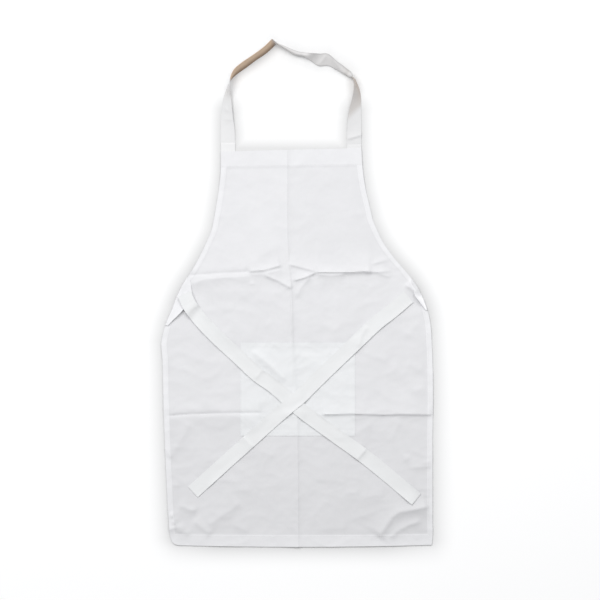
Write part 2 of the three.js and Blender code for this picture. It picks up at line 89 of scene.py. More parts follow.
# Creases that stand up. Each is a line, its height, and the runs over which it falls away to the left and
# to the right of someone who walks along it. The shorter run is the steeper and darker side.
RIDGES = [
    # pressed cross creases on the right half, and the diamond pucker on the waist
    ([(34, 49), (80, 48), (118, 48), (146, 50), (168, 49)], 7.0, 22, 4.2),
    ([(140, 50), (172, 48), (216, 51)], 4.0, 16, 3.5, 26),
    ([(50, -272), (120, -270), (190, -272), (240, -271), (305, -272)], 5.2, 24, 3),
    ([(-115, 50), (-77, 53), (-34, 65)], 5.8, 20, 4.2),
    ([(-112, 42), (-77, 44), (-34, 55)], 2.6, 5, 14),
    ([(-128, 56), (-81, 86), (-30, 118)], 3.0, 40, 22, 34),
    ([(38, 44), (72, 41), (108, 43)], 3.4, 4, 11),
    ([(-21, 8), (-17, -60), (-15, -110), (-13, -212)], 2.0, 2.5, 8),
    ([(-25, 67), (44, 49)], 4.2, 20, 3.5),
    ([(-14, 28), (14, 36), (44, 49)], 6.0, 11, 3),
    ([(-79, 43), (-46, 29), (-12, 10)], 4.8, 12, 3.5),
    ([(30, 42), (6, 14), (-6, -12)], 3.6, 7, 9),
    ([(160, 65), (208, 77)], 3.0, 10, 4, 18),
    ([(174, 48), (212, 35)], 2.8, 7, 4, 16),
    # a fold beside the right hip's turned corner
    ([(240, 22), (254, 12), (270, -2)], 7.0, 10, 5.5, 9),
    # wrinkles at the lower right of the skirt
    ([(178, -548), (198, -520), (211, -502), (228, -491), (266, -484), (297, -477)], 9.6, 15, 15, 14),
    ([(204, -550), (226, -531), (250, -519), (278, -511)], 4.6, 9, 8),
    ([(233, -379), (254, -366)], 3.0, 12, 7),
    ([(250, -392), (302, -388)], 2.8, 12, 6),
    ([(276, -384), (302, -376)], 2.0, 8, 5),
    ([(262, -439), (300, -440)], 2.2, 12, 6),
    ([(272, -453), (300, -454)], 2.0, 8, 5),
    ([(140, -459), (198, -452)], 2.2, 18, 10),
    ([(31, -420), (87, -420), (112, -427)], 1.3, 12, 7),
    ([(100, -445), (139, -450)], 1.3, 12, 7),
    ([(40, -528), (114, -525)], 1.8, 16, 10),
    ([(128, -502), (180, -488)], 1.6, 18, 12),
    ([(124, -318), (168, -290)], 2.0, 10, 9),
    # wrinkles at the lower left of the skirt
    ([(-272, -474), (-226, -492)], 4.0, 14, 7),
    ([(-238, -508), (-193, -543)], 4.2, 14, 8),
    ([(-206, -521), (-151, -487), (-128, -466)], 3.4, 18, 11),
    ([(-152, -516), (-108, -535)], 1.8, 8, 7),
    ([(-290, -490), (-280, -505), (-272, -518)], 4.2, 7, 5.5, 10),
    ([(-288, -509), (-272, -521), (-252, -533)], 4.4, 7, 5.5, 12),
    ([(-296, -533), (-282, -527), (-264, -526)], 3.8, 7, 5, 10),
    ([(-278, -531), (-240, -541)], 3.8, 8, 5, 12),
    ([(-289, -430), (-262, -433)], 2.0, 9, 5),
    ([(-240, -288), (-291, -374)], 3.0, 9, 16),
    ([(-190, -420), (-120, -424)], 1.4, 14, 9),
    ([(-170, -446), (-100, -440)], 1.3, 14, 9),
    ([(-90, -352), (-50, -366)], 1.6, 14, 9),
    # soft wrinkles on the waist, and the cloth that the left tie draws up
    ([(-250, 22), (-205, 33), (-150, 37), (-100, 38)], 3.0, 9, 32, 24),
    ([(-236, -4), (-210, -45), (-189, -68), (-140, -115)], 2.6, 14, 10, 20),
    ([(-114, 20), (-94, 24)], 1.6, 7, 4, 8),
    ([(-136, -14), (-112, -4)], 1.4, 9, 5, 9),
    ([(-78, -80), (-56, -58)], 1.6, 6, 5),
    ([(72, -92), (104, -62)], 1.6, 8, 6),
    # soft wrinkles on the right side of the skirt
    ([(240, -96), (276, -62)], 2.0, 8, 7),
    ([(146, -128), (166, -142), (208, -152)], 1.8, 12, 6),
    ([(191, -184), (208, -178), (227, -164)], 1.9, 9, 4.5),
    ([(238, -158), (262, -164), (284, -176)], 2.2, 14, 7),
    ([(250, -222), (292, -206)], 2.6, 12, 14),
    ([(231, -280), (220, -305), (208, -336)], 1.8, 4, 8),
    # faint wrinkles on the bib
    ([(-198, 112), (-162, 94)], 1.1, 9, 5),
    ([(-189, 171), (-140, 175)], 0.9, 10, 5),
    ([(4, 206), (42, 203)], 0.9, 9, 5),
    ([(112, 174), (153, 181)], 1.0, 10, 5),
]

END_FADE = 12  # run over which a crease dies away at its ends, unless it gives its own as a last number

# Creases that sink between two low swells: a line, the swells' height, and how far off they stand.
VALLEYS = [
    ([(-250, 41), (-180, 46), (-104, 50)], 2.2, 10),
    ([(-296, -275), (-240, -271), (-183, -269), (-79, -268)], 2.3, 9),
]

# The soft dents all over the cloth: their strength at heights from the hem up to the bib.
CRUMPLE_HEIGHTS = (-540, -420, -280, -60, 30, 90)
CRUMPLE_STRENGTHS = (0.95, 0.85, 1.1, 1.1, 0.9, 0.6)
# Their two main kinds: size, how much they are squeezed along the apron, seed of the noise, and height.
DENTS = [(64, 1.5, 1.3, 1.3), (26, 1.3, 5.9, 0.7)]
FINE_DENTS = (13, 9.4)  # size and seed of the finest
FINE_HEIGHT = 0.12
BEND = 14  # how far their pattern is bent
BENDS = [(55, 3.1), (55, 7.7)]  # size and seed of that, across and along

# How the apron's edges stand off the table
EDGE_LIFT = 1.7
EDGE_RUN = 16  # run over which the lift dies away from an edge
EDGE_WAVE = 1.3  # how much more and less it is along an edge
WAVES = (70, 2.2)  # size and seed
WAVE_SIDES = 200  # distance in the noise between the two sides' waves
WAVE_ACROSS = 0.2  # how much slower the waves change across the apron than along it
RIPPLE = 0.3  # height of the small ripples on the waves
RIPPLES = (7, 4.4)  # size and seed
SHADED_EDGE = 0.25  # share of the lift along the right side and the bottom, which lie in their own shade

# Hip corners folded over to the front. The fold follows the outline between two heights, and the corner's
# lower free edge is lifted off the panel. The corner has its first white below the first of two further
# heights, and its second white above the second; these whites are painted light on the lower part and
# painted shade on the upper part.
HIPS = [
    {
        "side": LEFT, "high": 42, "low": -79, "tip": (-233, -13), "lift": 4,
        "bright": (-20, 10), "whites": (1.05, 1.02),
    },
    {
        "side": RIGHT, "high": 36, "low": -43, "tip": (259, -6), "lift": 11,
        "bright": (-9, -3), "whites": (1.2, 0.955),
    },
]
HIP_ENDS = 0.05  # share of the fold left off at each end, where the corner runs out to nothing
INSET_EASE = 0.12  # share of the fold at each end over which the panel's edge is set in for it
FOLD_RADIUS = 1.0  # inner radius of the fold
FOLD_TIGHT = 0.3  # share of that radius at the fold's ends
FOLD_EASE = 0.15  # share of the fold at each end over which it opens to its radius
FOLD_ARC = [-60, -30, 0, 30, 60, 90]  # angles of the steps round the fold, in degrees
FLAP_STEPS = 9  # steps from the fold to the corner's free edge
FLAP_LEAST = 1.0  # least distance between those two
FLAP_SINK = 0.4  # share of the fold's height by which the corner's upper free edge sinks back to the panel
LIFT_EASE = (-0.15, 0.1)  # shares of the fold, from the tip, over which the free edge starts to lift

POCKET = {"left": -130, "right": 128, "bottom": -320, "top": -110}
POCKET_GAP = 0.1  # clear space under the pocket
POCKET_CLOTH = 0.55  # wall of the pocket, pressed thin
POCKET_TURN = 0.2  # how much higher the pocket lies at its turned edges
MOUTH_LIFT = 0.9  # how far the pocket's open top edge stands off the panel
MOUTH_RUN = 14  # run over which that lift dies away
POCKET_MIDDLE = -200.0  # height where the place of the pocket's middle column is read off the centre fold
CROSS_CREASE = -271  # height of the pressed cross crease under the pocket
TOUCH = 0.01  # how far off the pocket a place still counts as on it, for rounding
# The fold that the left tie pushes up in the pocket's cloth: its line and height, its run to the left, its
# run to the right, where it has a flat dark side, and the fade at its ends.
POCKET_FOLD = ([(-108, -126), (-64, -159), (-22, -201)], 3.6, 8, 15, 20)

# The ties' middle lines, from the hip where each is sewn on to its free end.
LEFT_TIE = [
    (-256, 0), (-244, -26), (-222, -56), (-201, -79), (-127, -149), (-88, -185), (-59, -205),
    (-2, -255), (83, -318), (144, -362), (266, -462),
]
RIGHT_TIE = [
    (248, -7), (207, -42), (182, -61), (137, -103), (31, -205), (4, -232), (-24, -255),
    (-113, -334), (-237, -446),
]
LEFT_CURL = 1.8  # how far the left tie's lower edge, on the right of its way, curls up
RIGHT_CURL = -1.35  # the same for the right tie, whose lower edge is on the left of its way
CURL_CHANGE = 0.7  # how much more and less the edges curl along the way
CURLS = (38, 6.6)  # size and seed of that
CURL_LOSS = 0.6  # share of the curl that is lost on the way to the free end
CROSS_WHITE = 1.03  # how white the ties are where they cross
LIP_WHITE = 1.035  # painted highlight: how white a tie's curled edge is
LIP_FROM = 0.86  # share of the way across where that edge begins
SETTLE = 6  # rows over which a tie climbs on to what it crosses
TIE_MARGIN = 1  # how far beside the left tie the right one is still held up by it
CROSSING = (-13, -246)  # middle of the place where the ties cross and press each other flat
PRESSED_REACH = (14, 44)  # distances from there up to which their edges are flat, and from which they curl
# How white each tie is: shares of its length from the hip, and the whites there.
LEFT_TIE_WHITES = ((0, 0.09, 0.14, 1), (1.03, 1.03, 1.0, 0.972))
RIGHT_TIE_WHITES = ((0, 1), (1.0, 1.0))
# Creases across the ties, as ridges.
LEFT_TIE_CREASES = [
    ([(-100, -196), (-83, -175), (-54, -168)], 2.0, 10, 4),
    ([(129, -378), (156, -346)], 3.0, 16, 4),
    ([(-250, -42), (-214, -20)], 1.2, 14, 3.5),
]
RIGHT_TIE_CREASES = [
    ([(138, -124), (142, -94), (158, -70)], 2.2, 10, 5),
    ([(-97, -349), (-129, -316)], 2.6, 16, 2.5),
]

# The neck strap from its left end, behind the band, round to its right end: the edge that stays on the
# table, then the edge that the twisted tape holds up, each as a place across and along the drawing.
STRAP = np.array([
    (-174, 294, -142, 294), (-174, 318, -142, 318), (-174, 342, -142, 342), (-174, 368, -143, 368),
    (-174, 391, -146, 391), (-171, 418, -149, 418), (-167, 444, -151, 444), (-161, 461, -153, 460),
    (-155, 475, -154, 476), (-146, 487, -151, 490), (-138, 494, -146, 501), (-117, 509, -128, 518),
    (-97, 524, -106, 533), (-66, 546, -74, 557), (-50, 562, -59, 572), (-41, 557, -47, 564),
    (-30, 551, -32, 557), (-4, 537, 2, 544), (12, 534, 15, 542), (27, 525, 31, 540),
    (45, 513, 49, 539), (66, 513, 66, 539), (87, 503, 87, 522), (104, 494, 108, 507),
    (118, 486, 121, 494), (125, 485, 123, 484), (133, 471, 125, 472), (139, 454, 124, 456),
    (141, 438, 121, 439), (141, 416, 116, 418), (142, 386, 111, 386), (142, 357, 110, 357),
    (142, 326, 110, 326), (143, 301, 111, 301),
], dtype=float)
STRAP_KINK = 14  # row where the strap is folded sharply
SEAM_ROWS = (1.875, 31.7)  # rows of the seams where the strap's ends are turned back
SEAM_STEP = 0.6  # how much higher the turned ends lie
SEAM_RUN = 0.8  # half the run of that step
SEAM_FINE = np.array([-2.6, -1.6, -0.8, 0, 0.8, 1.6, 2.6])  # distances of sections from a seam
RISE_ROWS = (5.6, 8.9)  # rows over which the left stretch rises from pressed flat to fully twisted
FALL_ROWS = (29.5, 25.5)  # the same on the right stretch, from its end back up
PRESSED_RISE = 0.3  # share of the rise that is left where the strap is pressed
ROLLED_ROWS = [(14.8, 18.6), (22.2, 24.2)]  # rows between which the tape stands up and curls over
ROLL_BLEND = 0.7  # half the rows over which it starts and ends to curl over
ROLL_REACH = 0.72 * TAPE  # sum of the height and the width across of a tape that curls over
# Seams and creases across the strap near its ends, as ridges. A height below zero is a groove.
STRAP_CREASES = [
    ([(-179, 339), (-137, 339)], -0.6, 1.4, 1.4),
    ([(104, 334), (148, 336)], -0.6, 1.4, 1.4),
    ([(106, 346), (149, 359)], 3.0, 9, 2.5),
    ([(-168, 423), (-154, 404)], 1.4, 4, 3),
    ([(-172, 392), (-144, 391)], 1.0, 6, 3),
    ([(42, 511), (68, 541)], 2.2, 3, 9),
]
STRAP_FLOOR = TAPE_WALL / 2 + 0.2  # height of the middle of the strap's wall where it lies on the table
STRAP_LIFT = TAPE_WALL + LAY_GAP  # how far the band is lifted by a strap end behind it
STRAP_MARGIN = 20  # how far round the strap end it is lifted as much
STRAP_FALL = 40  # run over which it then falls

# Fineness of the meshes
LEAST_GAP = 0.6  # least distance between two rows or columns
POCKET_STEP = 2.8
POCKET_EDGES = np.array([0, 1.2, 3, 5, 7, POCKET_HEM, POCKET_HEM + HEM_STEP])  # from each of its edges
TAPE_STEP = 2.2
TAPE_COLUMNS = 11
# Distances of columns from a side edge.
HEM_COLUMNS = np.array([0, 1.5, 4, 6.5, 8.5, SIDE_HEM - 1, SIDE_HEM, SIDE_HEM + HEM_STEP, 16])
FOLD_COLUMNS = np.array([12, 9, 6.5, 4.5, 3, 1.8, 0.8])  # distances of columns from the centre fold
CENTRE_COLUMNS = np.arange(84, 13, -3.0)  # the same, further off, where the pucker is
OUTER_COLUMNS = 43  # even columns between those and the hem
# Steps between the panel's rows: the height up to which a step holds, and the step.
ROW_STEPS = [(-340, 3.3), (-284, 4.5), (-258, 2.0), (8, 5.0), (72, 2.2), (100, 3.5), (TOP, 5.0)]
EDGE_ROW = 1.5  # distance of a row from the top and the bottom edge
CORNER_ROWS = np.array([0.7, 2.4, 4, 6, 9])  # heights of rows above the bottom edge, round the corner
FINE_ROWS = np.arange(-12, 13, 2.0)  # rows of the pocket beside a cross crease
SHARP_ANGLE = 50  # angle between faces above which an edge is drawn sharp, in degrees

# Thread
STITCH_PITCH = 3.6
STITCH_SIZE = (1.35, 0.32, 0.28)  # half its length, width and height
STITCH_INSET = 2.2  # how far a line of stitches runs in from an edge
SEWN_ROW = 10  # row of a tie's vertices where a second line of stitches sews it on
THROUGH_STITCH = TAPE_WALL / 2 + 0.15  # half the height of the strap's stitches, which show on both faces
LINE_STEP = 2.0  # distance between the points of a line that stitches follow

# How white the single cloth is, from the bottom of the skirt up to the bib: heights and their whites.
# Their fall towards the bottom, and the step below the cross crease, is painted shade.
SINGLE_HEIGHTS = (BOTTOM, -290, -264, -120, 120, TOP)
SINGLE_WHITES = (0.875, 0.915, 0.94, 0.945, 0.972, 0.972)
# The same for the doubled cloth, from the bottom hem up the side hems to the band: whiter as two layers,
# with its fall towards the bottom hem painted shade.
DOUBLE_HEIGHTS = (BOTTOM + BOTTOM_HEM, -397, -240, TOP - TOP_BAND - 1, TOP - TOP_BAND)
DOUBLE_WHITES = (0.965, 0.99, 1.04, 1.04, 0.99)
BIB_SHADE = 0.018  # painted shade: how much less white the right half of the bib is
BIB_SHADE_HEIGHTS = (60, 110)  # heights over which that sets in
BIB_SHADE_RUN = (-2, 8)  # distances right of the centre fold over which it sets in
CORNER_SHADE = 0.025  # painted shade: how much less white the lower right of the skirt is
CORNER_SHADE_HEIGHTS = (-420, -520)
CORNER_SHADE_RUN = (-20, 120)  # places across over which it sets in
POCKET_WHITES = (0.972, 1.003)  # at the pocket's bottom and at its top; the fall to the bottom is painted shade

# The strap's colours: tan, whiter turned ends, painted shade and one painted highlight. Where two rows end
# a colour, the first is the row where it is gone.
TAN = np.array([0.98, 0.74, 0.54])
DARK_TAN = np.array([0.40, 0.28, 0.19])  # painted shade: darker tan at the edge on the table
TAN_RUN = 0.7  # share of the way across over which that turns into the other tan
TAN_ROWS = (8.4, 14)  # rows between which the strap's back is tan
TAN_BLEND = 0.4
# Painted shade, brown and then warm grey, on the right stretch where the tape turns away from the light.
BROWN = (0.64, 0.52, 0.42)
BROWN_START = (24.0, 25.0)  # rows over which the right stretch turns brown
BROWN_END = (29, 25.0)
BROWN_EDGE = 0.45  # how much less brown it is at its raised edge
WARM = (0.825, 0.795, 0.77)
WARM_START = (26, 28.0)  # rows over which the right stretch turns to a warm grey
WARM_END = (29.15, 28.35)
WARM_SLANT = 0.95  # rows by which the warm grey starts and ends later at the raised edge
# Stretches of painted shade, and one of painted highlight: the rows between which each lies, half the rows
# of its blend, and its colour.
STRETCHES = [
    ((6.0, 7.2), 0.8, (0.955, 0.94, 0.925)),
    ((14.5, 24), 0.5, (1.0, 0.985, 0.975)),
    ((18.1, 18.9), 0.4, (1.07, 1.07, 1.07)),
    ((22.9, 23.6), 0.4, (0.78, 0.77, 0.755)),
]
LEFT_SHADE = 0.085  # painted shade: how much less white the left stretch is beside the tan
LEFT_START = (2.2, 5.6)
LEFT_END = (7.7, 6.7)
RIGHT_SHADE = 0.05  # painted shade: how much less white the right stretch is where it is no longer brown
TAB_WHITE = 1.03  # how white the turned ends are
EDGE_SHADE = 0.26  # painted shade: how much darker the tape's edges are between two rows
EDGE_ROWS = (15.4, 25.6)
EDGE_BLEND = 0.5
EDGE_SHARE = 0.12  # share of the way across over which an edge's shade fades

# Cotton
WEAVE_PITCH = 0.9
WEAVE_DEPTH = 0.12
DENT_DEPTH = 0.9  # of the smallest dents, which are only in the material
PATCH_WHITE = 0.972  # how white the less white patches are
WAVE_TURN = 20  # radians that a wave texture turns through in one metre, for each unit of its scale
# Each slot's colour, and the coordinates that its weave follows.
COTTONS = {
    "panel_cotton": ((0.80, 0.80, 0.815), "Object"),
    "pocket_cotton": ((0.81, 0.82, 0.83), "Object"),
    "strap_cotton": ((0.775, 0.775, 0.778), "UV"),
    "tie_cotton": ((0.80, 0.808, 0.812), "UV"),
}

# Table, light and camera
VIEW_WIDTH = 1350 * MM  # width of the table that the camera sees
VIEW_CENTRE = np.array([4.05, -14.2, 0.0])
CAMERA_HEIGHT = 10.0
SENSOR = 36.0
FLOOR_DROP = 0.3  # how far the table lies below height zero
TABLE_REACH = 20000  # half the table's size
TABLE_WHITE = 0.91
# How far from the apron the painted shadow on the table reaches, up to the strap's ends and beside
# its raised part.
BORDER_REACHES = (58, 100)
WIDER_HEIGHTS = (400, 490)  # heights on the drawing between which the first turns into the second
# Painted shadow: how much darker the table is beside the apron, by height. The raised strap also casts a
# shadow of its own.
BORDER_HEIGHTS = (-300, -80, -20, 60, 130, 200, 415, 450, 480, 510, 560)
BORDER_SHADES = (0.27, 0.29, 0.36, 0.35, 0.32, 0.315, 0.325, 0.15, 0.14, 0.22, 0.22)
HEM_SHADES = (0.36, 0.16)  # painted shadow: how much darker it is below the hem, and below its corners
HEM_PLACES = (190, 300)  # distances from the middle between which the first turns into the second
HEM_REACH = 15  # how far above and below the hem's edge the shade beside it turns into the one below it
BORDER_STEP = 6  # fineness of the table round the apron
BORDER_BOX = (380, 645)  # half the width and half the height of that part of the table
ROOM_COLOUR = (0.98, 0.985, 1.0, 1)
ROOM_LIGHT = 0.45
# The soft lights: name, place and watts.
WINDOWS = [("left_window", (-2.0, 2.8, 5.0), 206), ("right_window", (1.8, 2.8, 5.0), 102)]
WINDOW_SIZE = 3.2
WINDOW_AIM = (0, -0.1, 0)

pocket_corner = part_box("pocket")[0]
SHIFT = np.array([pocket_corner.x / MM - POCKET["left"], pocket_corner.y / MM - POCKET["bottom"], 0.0])


# Reading the drawing

def smooth_through(keys, values, at):
    """A smooth curve through a table's values, read at the given places."""
    at = np.clip(at, keys[0], keys[-1])
    slopes = np.gradient(values, keys)
    row = np.clip(np.searchsorted(keys, at, side="right") - 1, 0, len(keys) - 2)
    gap = keys[row + 1] - keys[row]
    t = (at - keys[row]) / gap
    rise = t * t * (3 - 2 * t) * (values[row + 1] - values[row])
    lead = t * (1 - t) ** 2 * gap * slopes[row]
    trail = t * t * (t - 1) * gap * slopes[row + 1]
    return values[row] + rise + lead + trail


def edge_at(y, side):
    return smooth_through(OUTLINE[:, 0], OUTLINE[:, side], y)


def centre_at(y):
    return smooth_through(CENTRE_FOLD[:, 0], CENTRE_FOLD[:, 1], y)


def smooth_step(low, high, value):
    """A share that grows smoothly from zero at the low value to one at the high one."""
    t = np.clip((value - low) / (high - low), 0, 1)
    return t * t * (3 - 2 * t)


def run_lengths(points):
    """How far each point of a line is from the line's start, along it."""
    return np.concatenate([[0], np.cumsum(np.linalg.norm(np.diff(points, axis=0), axis=1))])


def nearest_on_line(x, y, line):
    """The nearest point of a line to each place: how far it is from the line's closer end, and how far the
    place lies to the left of it."""
    points = np.asarray(line, dtype=float)
    runs = np.diff(points, axis=0)
    passed = run_lengths(points)
    nearest = np.full(np.shape(x), np.inf)
    along = np.zeros(np.shape(x))
    aside = np.zeros(np.shape(x))
    for start, run, length, before in zip(points, runs, np.diff(passed), passed):
        dx = x - start[0]
        dy = y - start[1]
        t = np.clip((dx * run[0] + dy * run[1]) / length ** 2, 0, 1)
        distance = np.hypot(dx - t * run[0], dy - t * run[1])
        left = np.sign(dy * run[0] - dx * run[1])
        nearer = distance < nearest
        nearest = np.where(nearer, distance, nearest)
        along = np.where(nearer, before + t * length, along)
        aside = np.where(nearer, left * distance, aside)
    return np.minimum(along, passed[-1] - along), aside


def ridge(x, y, line, height, left_run, right_run, fade=END_FADE):
    """Height of a crease that stands up, sharp along its line and gone at its ends."""
    from_end, aside = nearest_on_line(x, y, line)
    run = np.where(aside > 0, left_run, right_run)
    return height * smooth_step(0, fade, from_end) * np.exp(-np.abs(aside) / run)


def facet(x, y, line, height, left_run, right_run, fade):
    """Height of a fold that falls away softly to the left of its line and as a flat slope to the right."""
    from_end, aside = nearest_on_line(x, y, line)
    soft = np.exp(-np.maximum(aside, 0) / left_run)
    flat = np.clip(1 + np.minimum(aside, 0) / right_run, 0, 1)
    return height * smooth_step(0, fade, from_end) * soft * flat


def valley(x, y, line, height, run):
    """Height of the two swells beside a crease that sinks."""
    from_end, aside = nearest_on_line(x, y, line)
    share = np.abs(aside) / run
    return height * smooth_step(0, END_FADE, from_end) * share * np.exp(1 - share)


def lumps(x, y, size, seed):
    """Smooth noise between minus one and one, in lumps of about the given size."""
    places = zip(np.ravel(x) / size, np.ravel(y) / size)
    values = [noise.noise(Vector((across, along, seed))) for across, along in places]
    return np.reshape(values, np.shape(x))


# Heights of the layers

def crumple(x, y):
    """Soft dents that handling leaves in pressed cotton, stronger on the skirt than on the bib."""
    bent_x = x + BEND * lumps(x, y, *BENDS[0])
    bent_y = y + BEND * lumps(x, y, *BENDS[1])
    height = FINE_HEIGHT * lumps(bent_x, bent_y, *FINE_DENTS)
    for size, squeeze, seed, most in DENTS:
        height = height + most * (1 - np.abs(lumps(bent_x, bent_y * squeeze, size, seed))) ** 2
    return height * np.interp(y, CRUMPLE_HEIGHTS, CRUMPLE_STRENGTHS)


def lift_over_strap_ends(x, y):
    """Lift of the band over the strap ends that are sewn behind it."""
    lifts = []
    for floor_x, floor_y, raised_x, _ in (STRAP[0], STRAP[-1]):
        aside = np.abs(x - (floor_x + raised_x) / 2) - TAPE / 2
        beyond = np.maximum(np.maximum(aside, floor_y - y), 0)
        lifts.append(STRAP_LIFT * np.clip(1 - (beyond - STRAP_MARGIN) / STRAP_FALL, 0, 1))
    return np.maximum(*lifts)


def from_side_edge(x, y):
    return np.minimum(x - edge_at(y, LEFT), edge_at(y, RIGHT) - x)


def from_edge(x, y):
    return np.minimum(from_side_edge(x, y), y - BOTTOM)


def edge_wave(x, y):
    """Low waves that hold the apron's edges a little off the table."""
    near = np.exp(-np.maximum(from_edge(x, y), 0) / EDGE_RUN)
    wave = EDGE_LIFT + EDGE_WAVE * lumps(np.sign(x) * WAVE_SIDES + WAVE_ACROSS * x, y, *WAVES)
    ripple = RIPPLE * lumps(x, y, *RIPPLES)
    shaded = smooth_step(2 * EDGE_RUN, EDGE_RUN, np.minimum(edge_at(y, RIGHT) - x, y - BOTTOM))
    return near * (wave + ripple) * (1 - (1 - SHADED_EDGE) * shaded)


def panel_lift(x, y):
    """Height of the panel's lower face above the table."""
    off_fold = centre_at(y) - x
    fold_run = np.where(off_fold > 0, *CENTRE_RUNS)
    height = CENTRE_RISE * np.exp(-np.abs(off_fold) / fold_run)
    for crease in RIDGES:
        height = height + ridge(x, y, *crease)
    for crease in VALLEYS:
        height = height + valley(x, y, *crease)
    return height + crumple(x, y) + edge_wave(x, y) + lift_over_strap_ends(x, y)


def hem_share(x, y):
    """One on the panel's hems and its band, zero on the single cloth, and a short step between."""
    side = smooth_step(SIDE_HEM + HEM_STEP, SIDE_HEM, from_side_edge(x, y))
    band = smooth_step(TOP - TOP_BAND - HEM_STEP, TOP - TOP_BAND, y)
    bottom = smooth_step(BOTTOM + BOTTOM_HEM + HEM_STEP, BOTTOM + BOTTOM_HEM, y)
    return np.maximum(np.maximum(side, band), bottom)


def panel_top(x, y):
    return panel_lift(x, y) + CLOTH + (HEM - CLOTH) * hem_share(x, y)


def hip_plan(hip):
    """A hip's fold: its start, the way to its end, the share along it of the tip, and the way in."""
    start = np.array([float(edge_at(hip["high"], hip["side"])), hip["high"]])
    end = np.array([float(edge_at(hip["low"], hip["side"])), hip["low"]])
    chord = end - start
    to_tip = np.array(hip["tip"]) - start
    tip_share = to_tip @ chord / (chord @ chord)
    inward = to_tip - tip_share * chord
    depth = np.linalg.norm(inward)
    return {
        "start": start,
        "chord": chord,
        "tip_share": tip_share,
        "depth": depth,
        "inward": inward / depth,
    }


def hip_depth(plan, share):
    return plan["depth"] * np.minimum(share / plan["tip_share"], (1 - share) / (1 - plan["tip_share"]))


def hip_share(plan, x, y):
    """How far along a hip's fold each place lies, and how far in from it."""
    dx = x - plan["start"][0]
    dy = y - plan["start"][1]
    share = (dx * plan["chord"][0] + dy * plan["chord"][1]) / (plan["chord"] @ plan["chord"])
    inside = dx * plan["inward"][0] + dy * plan["inward"][1]
    return share, inside


def hip_top(x, y):
    """Height of the folded hip corners' upper face."""
    height = np.full(np.shape(x), NOWHERE)
    for hip in HIPS:
        plan = hip_plan(hip)
        share, inside = hip_share(plan, x, y)
        covered = (share > 0) & (share < 1) & (inside < hip_depth(plan, share) + LAY_GAP)
        over = panel_top(x, y) + 2 * FOLD_RADIUS + hip["lift"] + CLOTH
        height = np.where(covered, np.maximum(height, over), height)
    return height


def from_pocket_edge(x, y):
    across = np.minimum(x - POCKET["left"], POCKET["right"] - x)
    return np.minimum(across, np.minimum(y - POCKET["bottom"], POCKET["top"] - y))


def pocket_wall(x, y):
    turned = smooth_step(POCKET_HEM + HEM_STEP, POCKET_HEM, from_pocket_edge(x, y))
    return POCKET_CLOTH + POCKET_TURN * turned


def pocket_top(x, y):
    """Height of the pocket's upper face, with its mouth a little open and the fold beside the left tie."""
    mouth = MOUTH_LIFT * np.exp(-np.maximum(POCKET["top"] - y, 0) / MOUTH_RUN)
    height = panel_top(x, y) + POCKET_GAP + mouth + facet(x, y, *POCKET_FOLD) + pocket_wall(x, y)
    return np.where(from_pocket_edge(x, y) >= -TOUCH, height, NOWHERE)


def highest(layers, x, y, feel=(0, 4), spokes=8):
    """The highest top of the layers under each place and close round it."""
    top = np.full(np.shape(x), NOWHERE)
    for reach in feel:
        for spoke in range(spokes if reach else 1):
            angle = 2 * math.pi * spoke / spokes
            at_x = x + reach * math.cos(angle)
            at_y = y + reach * math.sin(angle)
            for layer in layers:
                top = np.maximum(top, layer(at_x, at_y))
    return top


# Making sheets of cloth

def start_alone():
    """Leaves edit mode and selects nothing."""
    if bpy.context.object and bpy.context.object.mode != "OBJECT":
        bpy.ops.object.mode_set(mode="OBJECT")
    bpy.ops.object.select_all(action="DESELECT")


def choose(piece):
    """Makes a piece the only one selected, and the active one."""
    start_alone()
    piece.select_set(True)
    bpy.context.view_layer.objects.active = piece


def laid_sheet(name, x, y, z):
    """A grid of cloth with a vertex at each given place. Its rows run along the first index."""
    rows, columns = x.shape
    start_alone()
    bpy.ops.mesh.primitive_grid_add(x_subdivisions=columns - 1, y_subdivisions=rows - 1, size=1)
    sheet = bpy.context.object
    sheet.name = name
    sheet.data.name = name
    places = (np.stack([x, y, z], axis=-1) + SHIFT) * MM
    sheet.data.vertices.foreach_set("co", places.ravel())
    sheet.data.update()
    return sheet


def lay_out_uv(sheet, across, along):
    """Gives a tape's map its own lengths in metres, across and along."""
    corners = np.empty(len(sheet.data.loops), dtype=int)
    sheet.data.loops.foreach_get("vertex_index", corners)
    lengths = np.stack([across.ravel()[corners], along.ravel()[corners]], axis=-1) * MM
    sheet.data.uv_layers.active.data.foreach_set("uv", lengths.ravel())


def tone_and_painted_light(sheet, colours):
    """Stores at each vertex how white, or how tan, a sheet is, with the light and shade painted into it."""
    layer = sheet.data.attributes.get("tone_and_painted_light") or sheet.data.attributes.new("tone_and_painted_light", "FLOAT_COLOR", "POINT")
    rgba = np.concatenate([colours, np.ones((len(colours), 1))], axis=1)
    layer.data.foreach_set("color", rgba.ravel())


def as_grey(white):
    """Plain colours, one for each white in any grid of them."""
    return np.repeat(np.reshape(white, (-1, 1)), 3, axis=1)


def thicken(sheet, wall, shares=None, offset=-1.0):
    """Turns a sheet into a closed wall, below its face unless the offset is changed. Shares thin it."""
    choose(sheet)
    solidify = sheet.modifiers.new("wall", "SOLIDIFY")
    solidify.thickness = wall * MM
    solidify.offset = offset
    if shares is not None:
        group = sheet.vertex_groups.new(name="wall")
        for share in np.unique(shares):
            group.add(np.flatnonzero(shares == share).tolist(), float(share), "REPLACE")
        solidify.vertex_group = group.name
    bpy.ops.object.modifier_apply(modifier=solidify.name)
    bpy.ops.object.shade_smooth_by_angle(angle=math.radians(SHARP_ANGLE))


# The panel

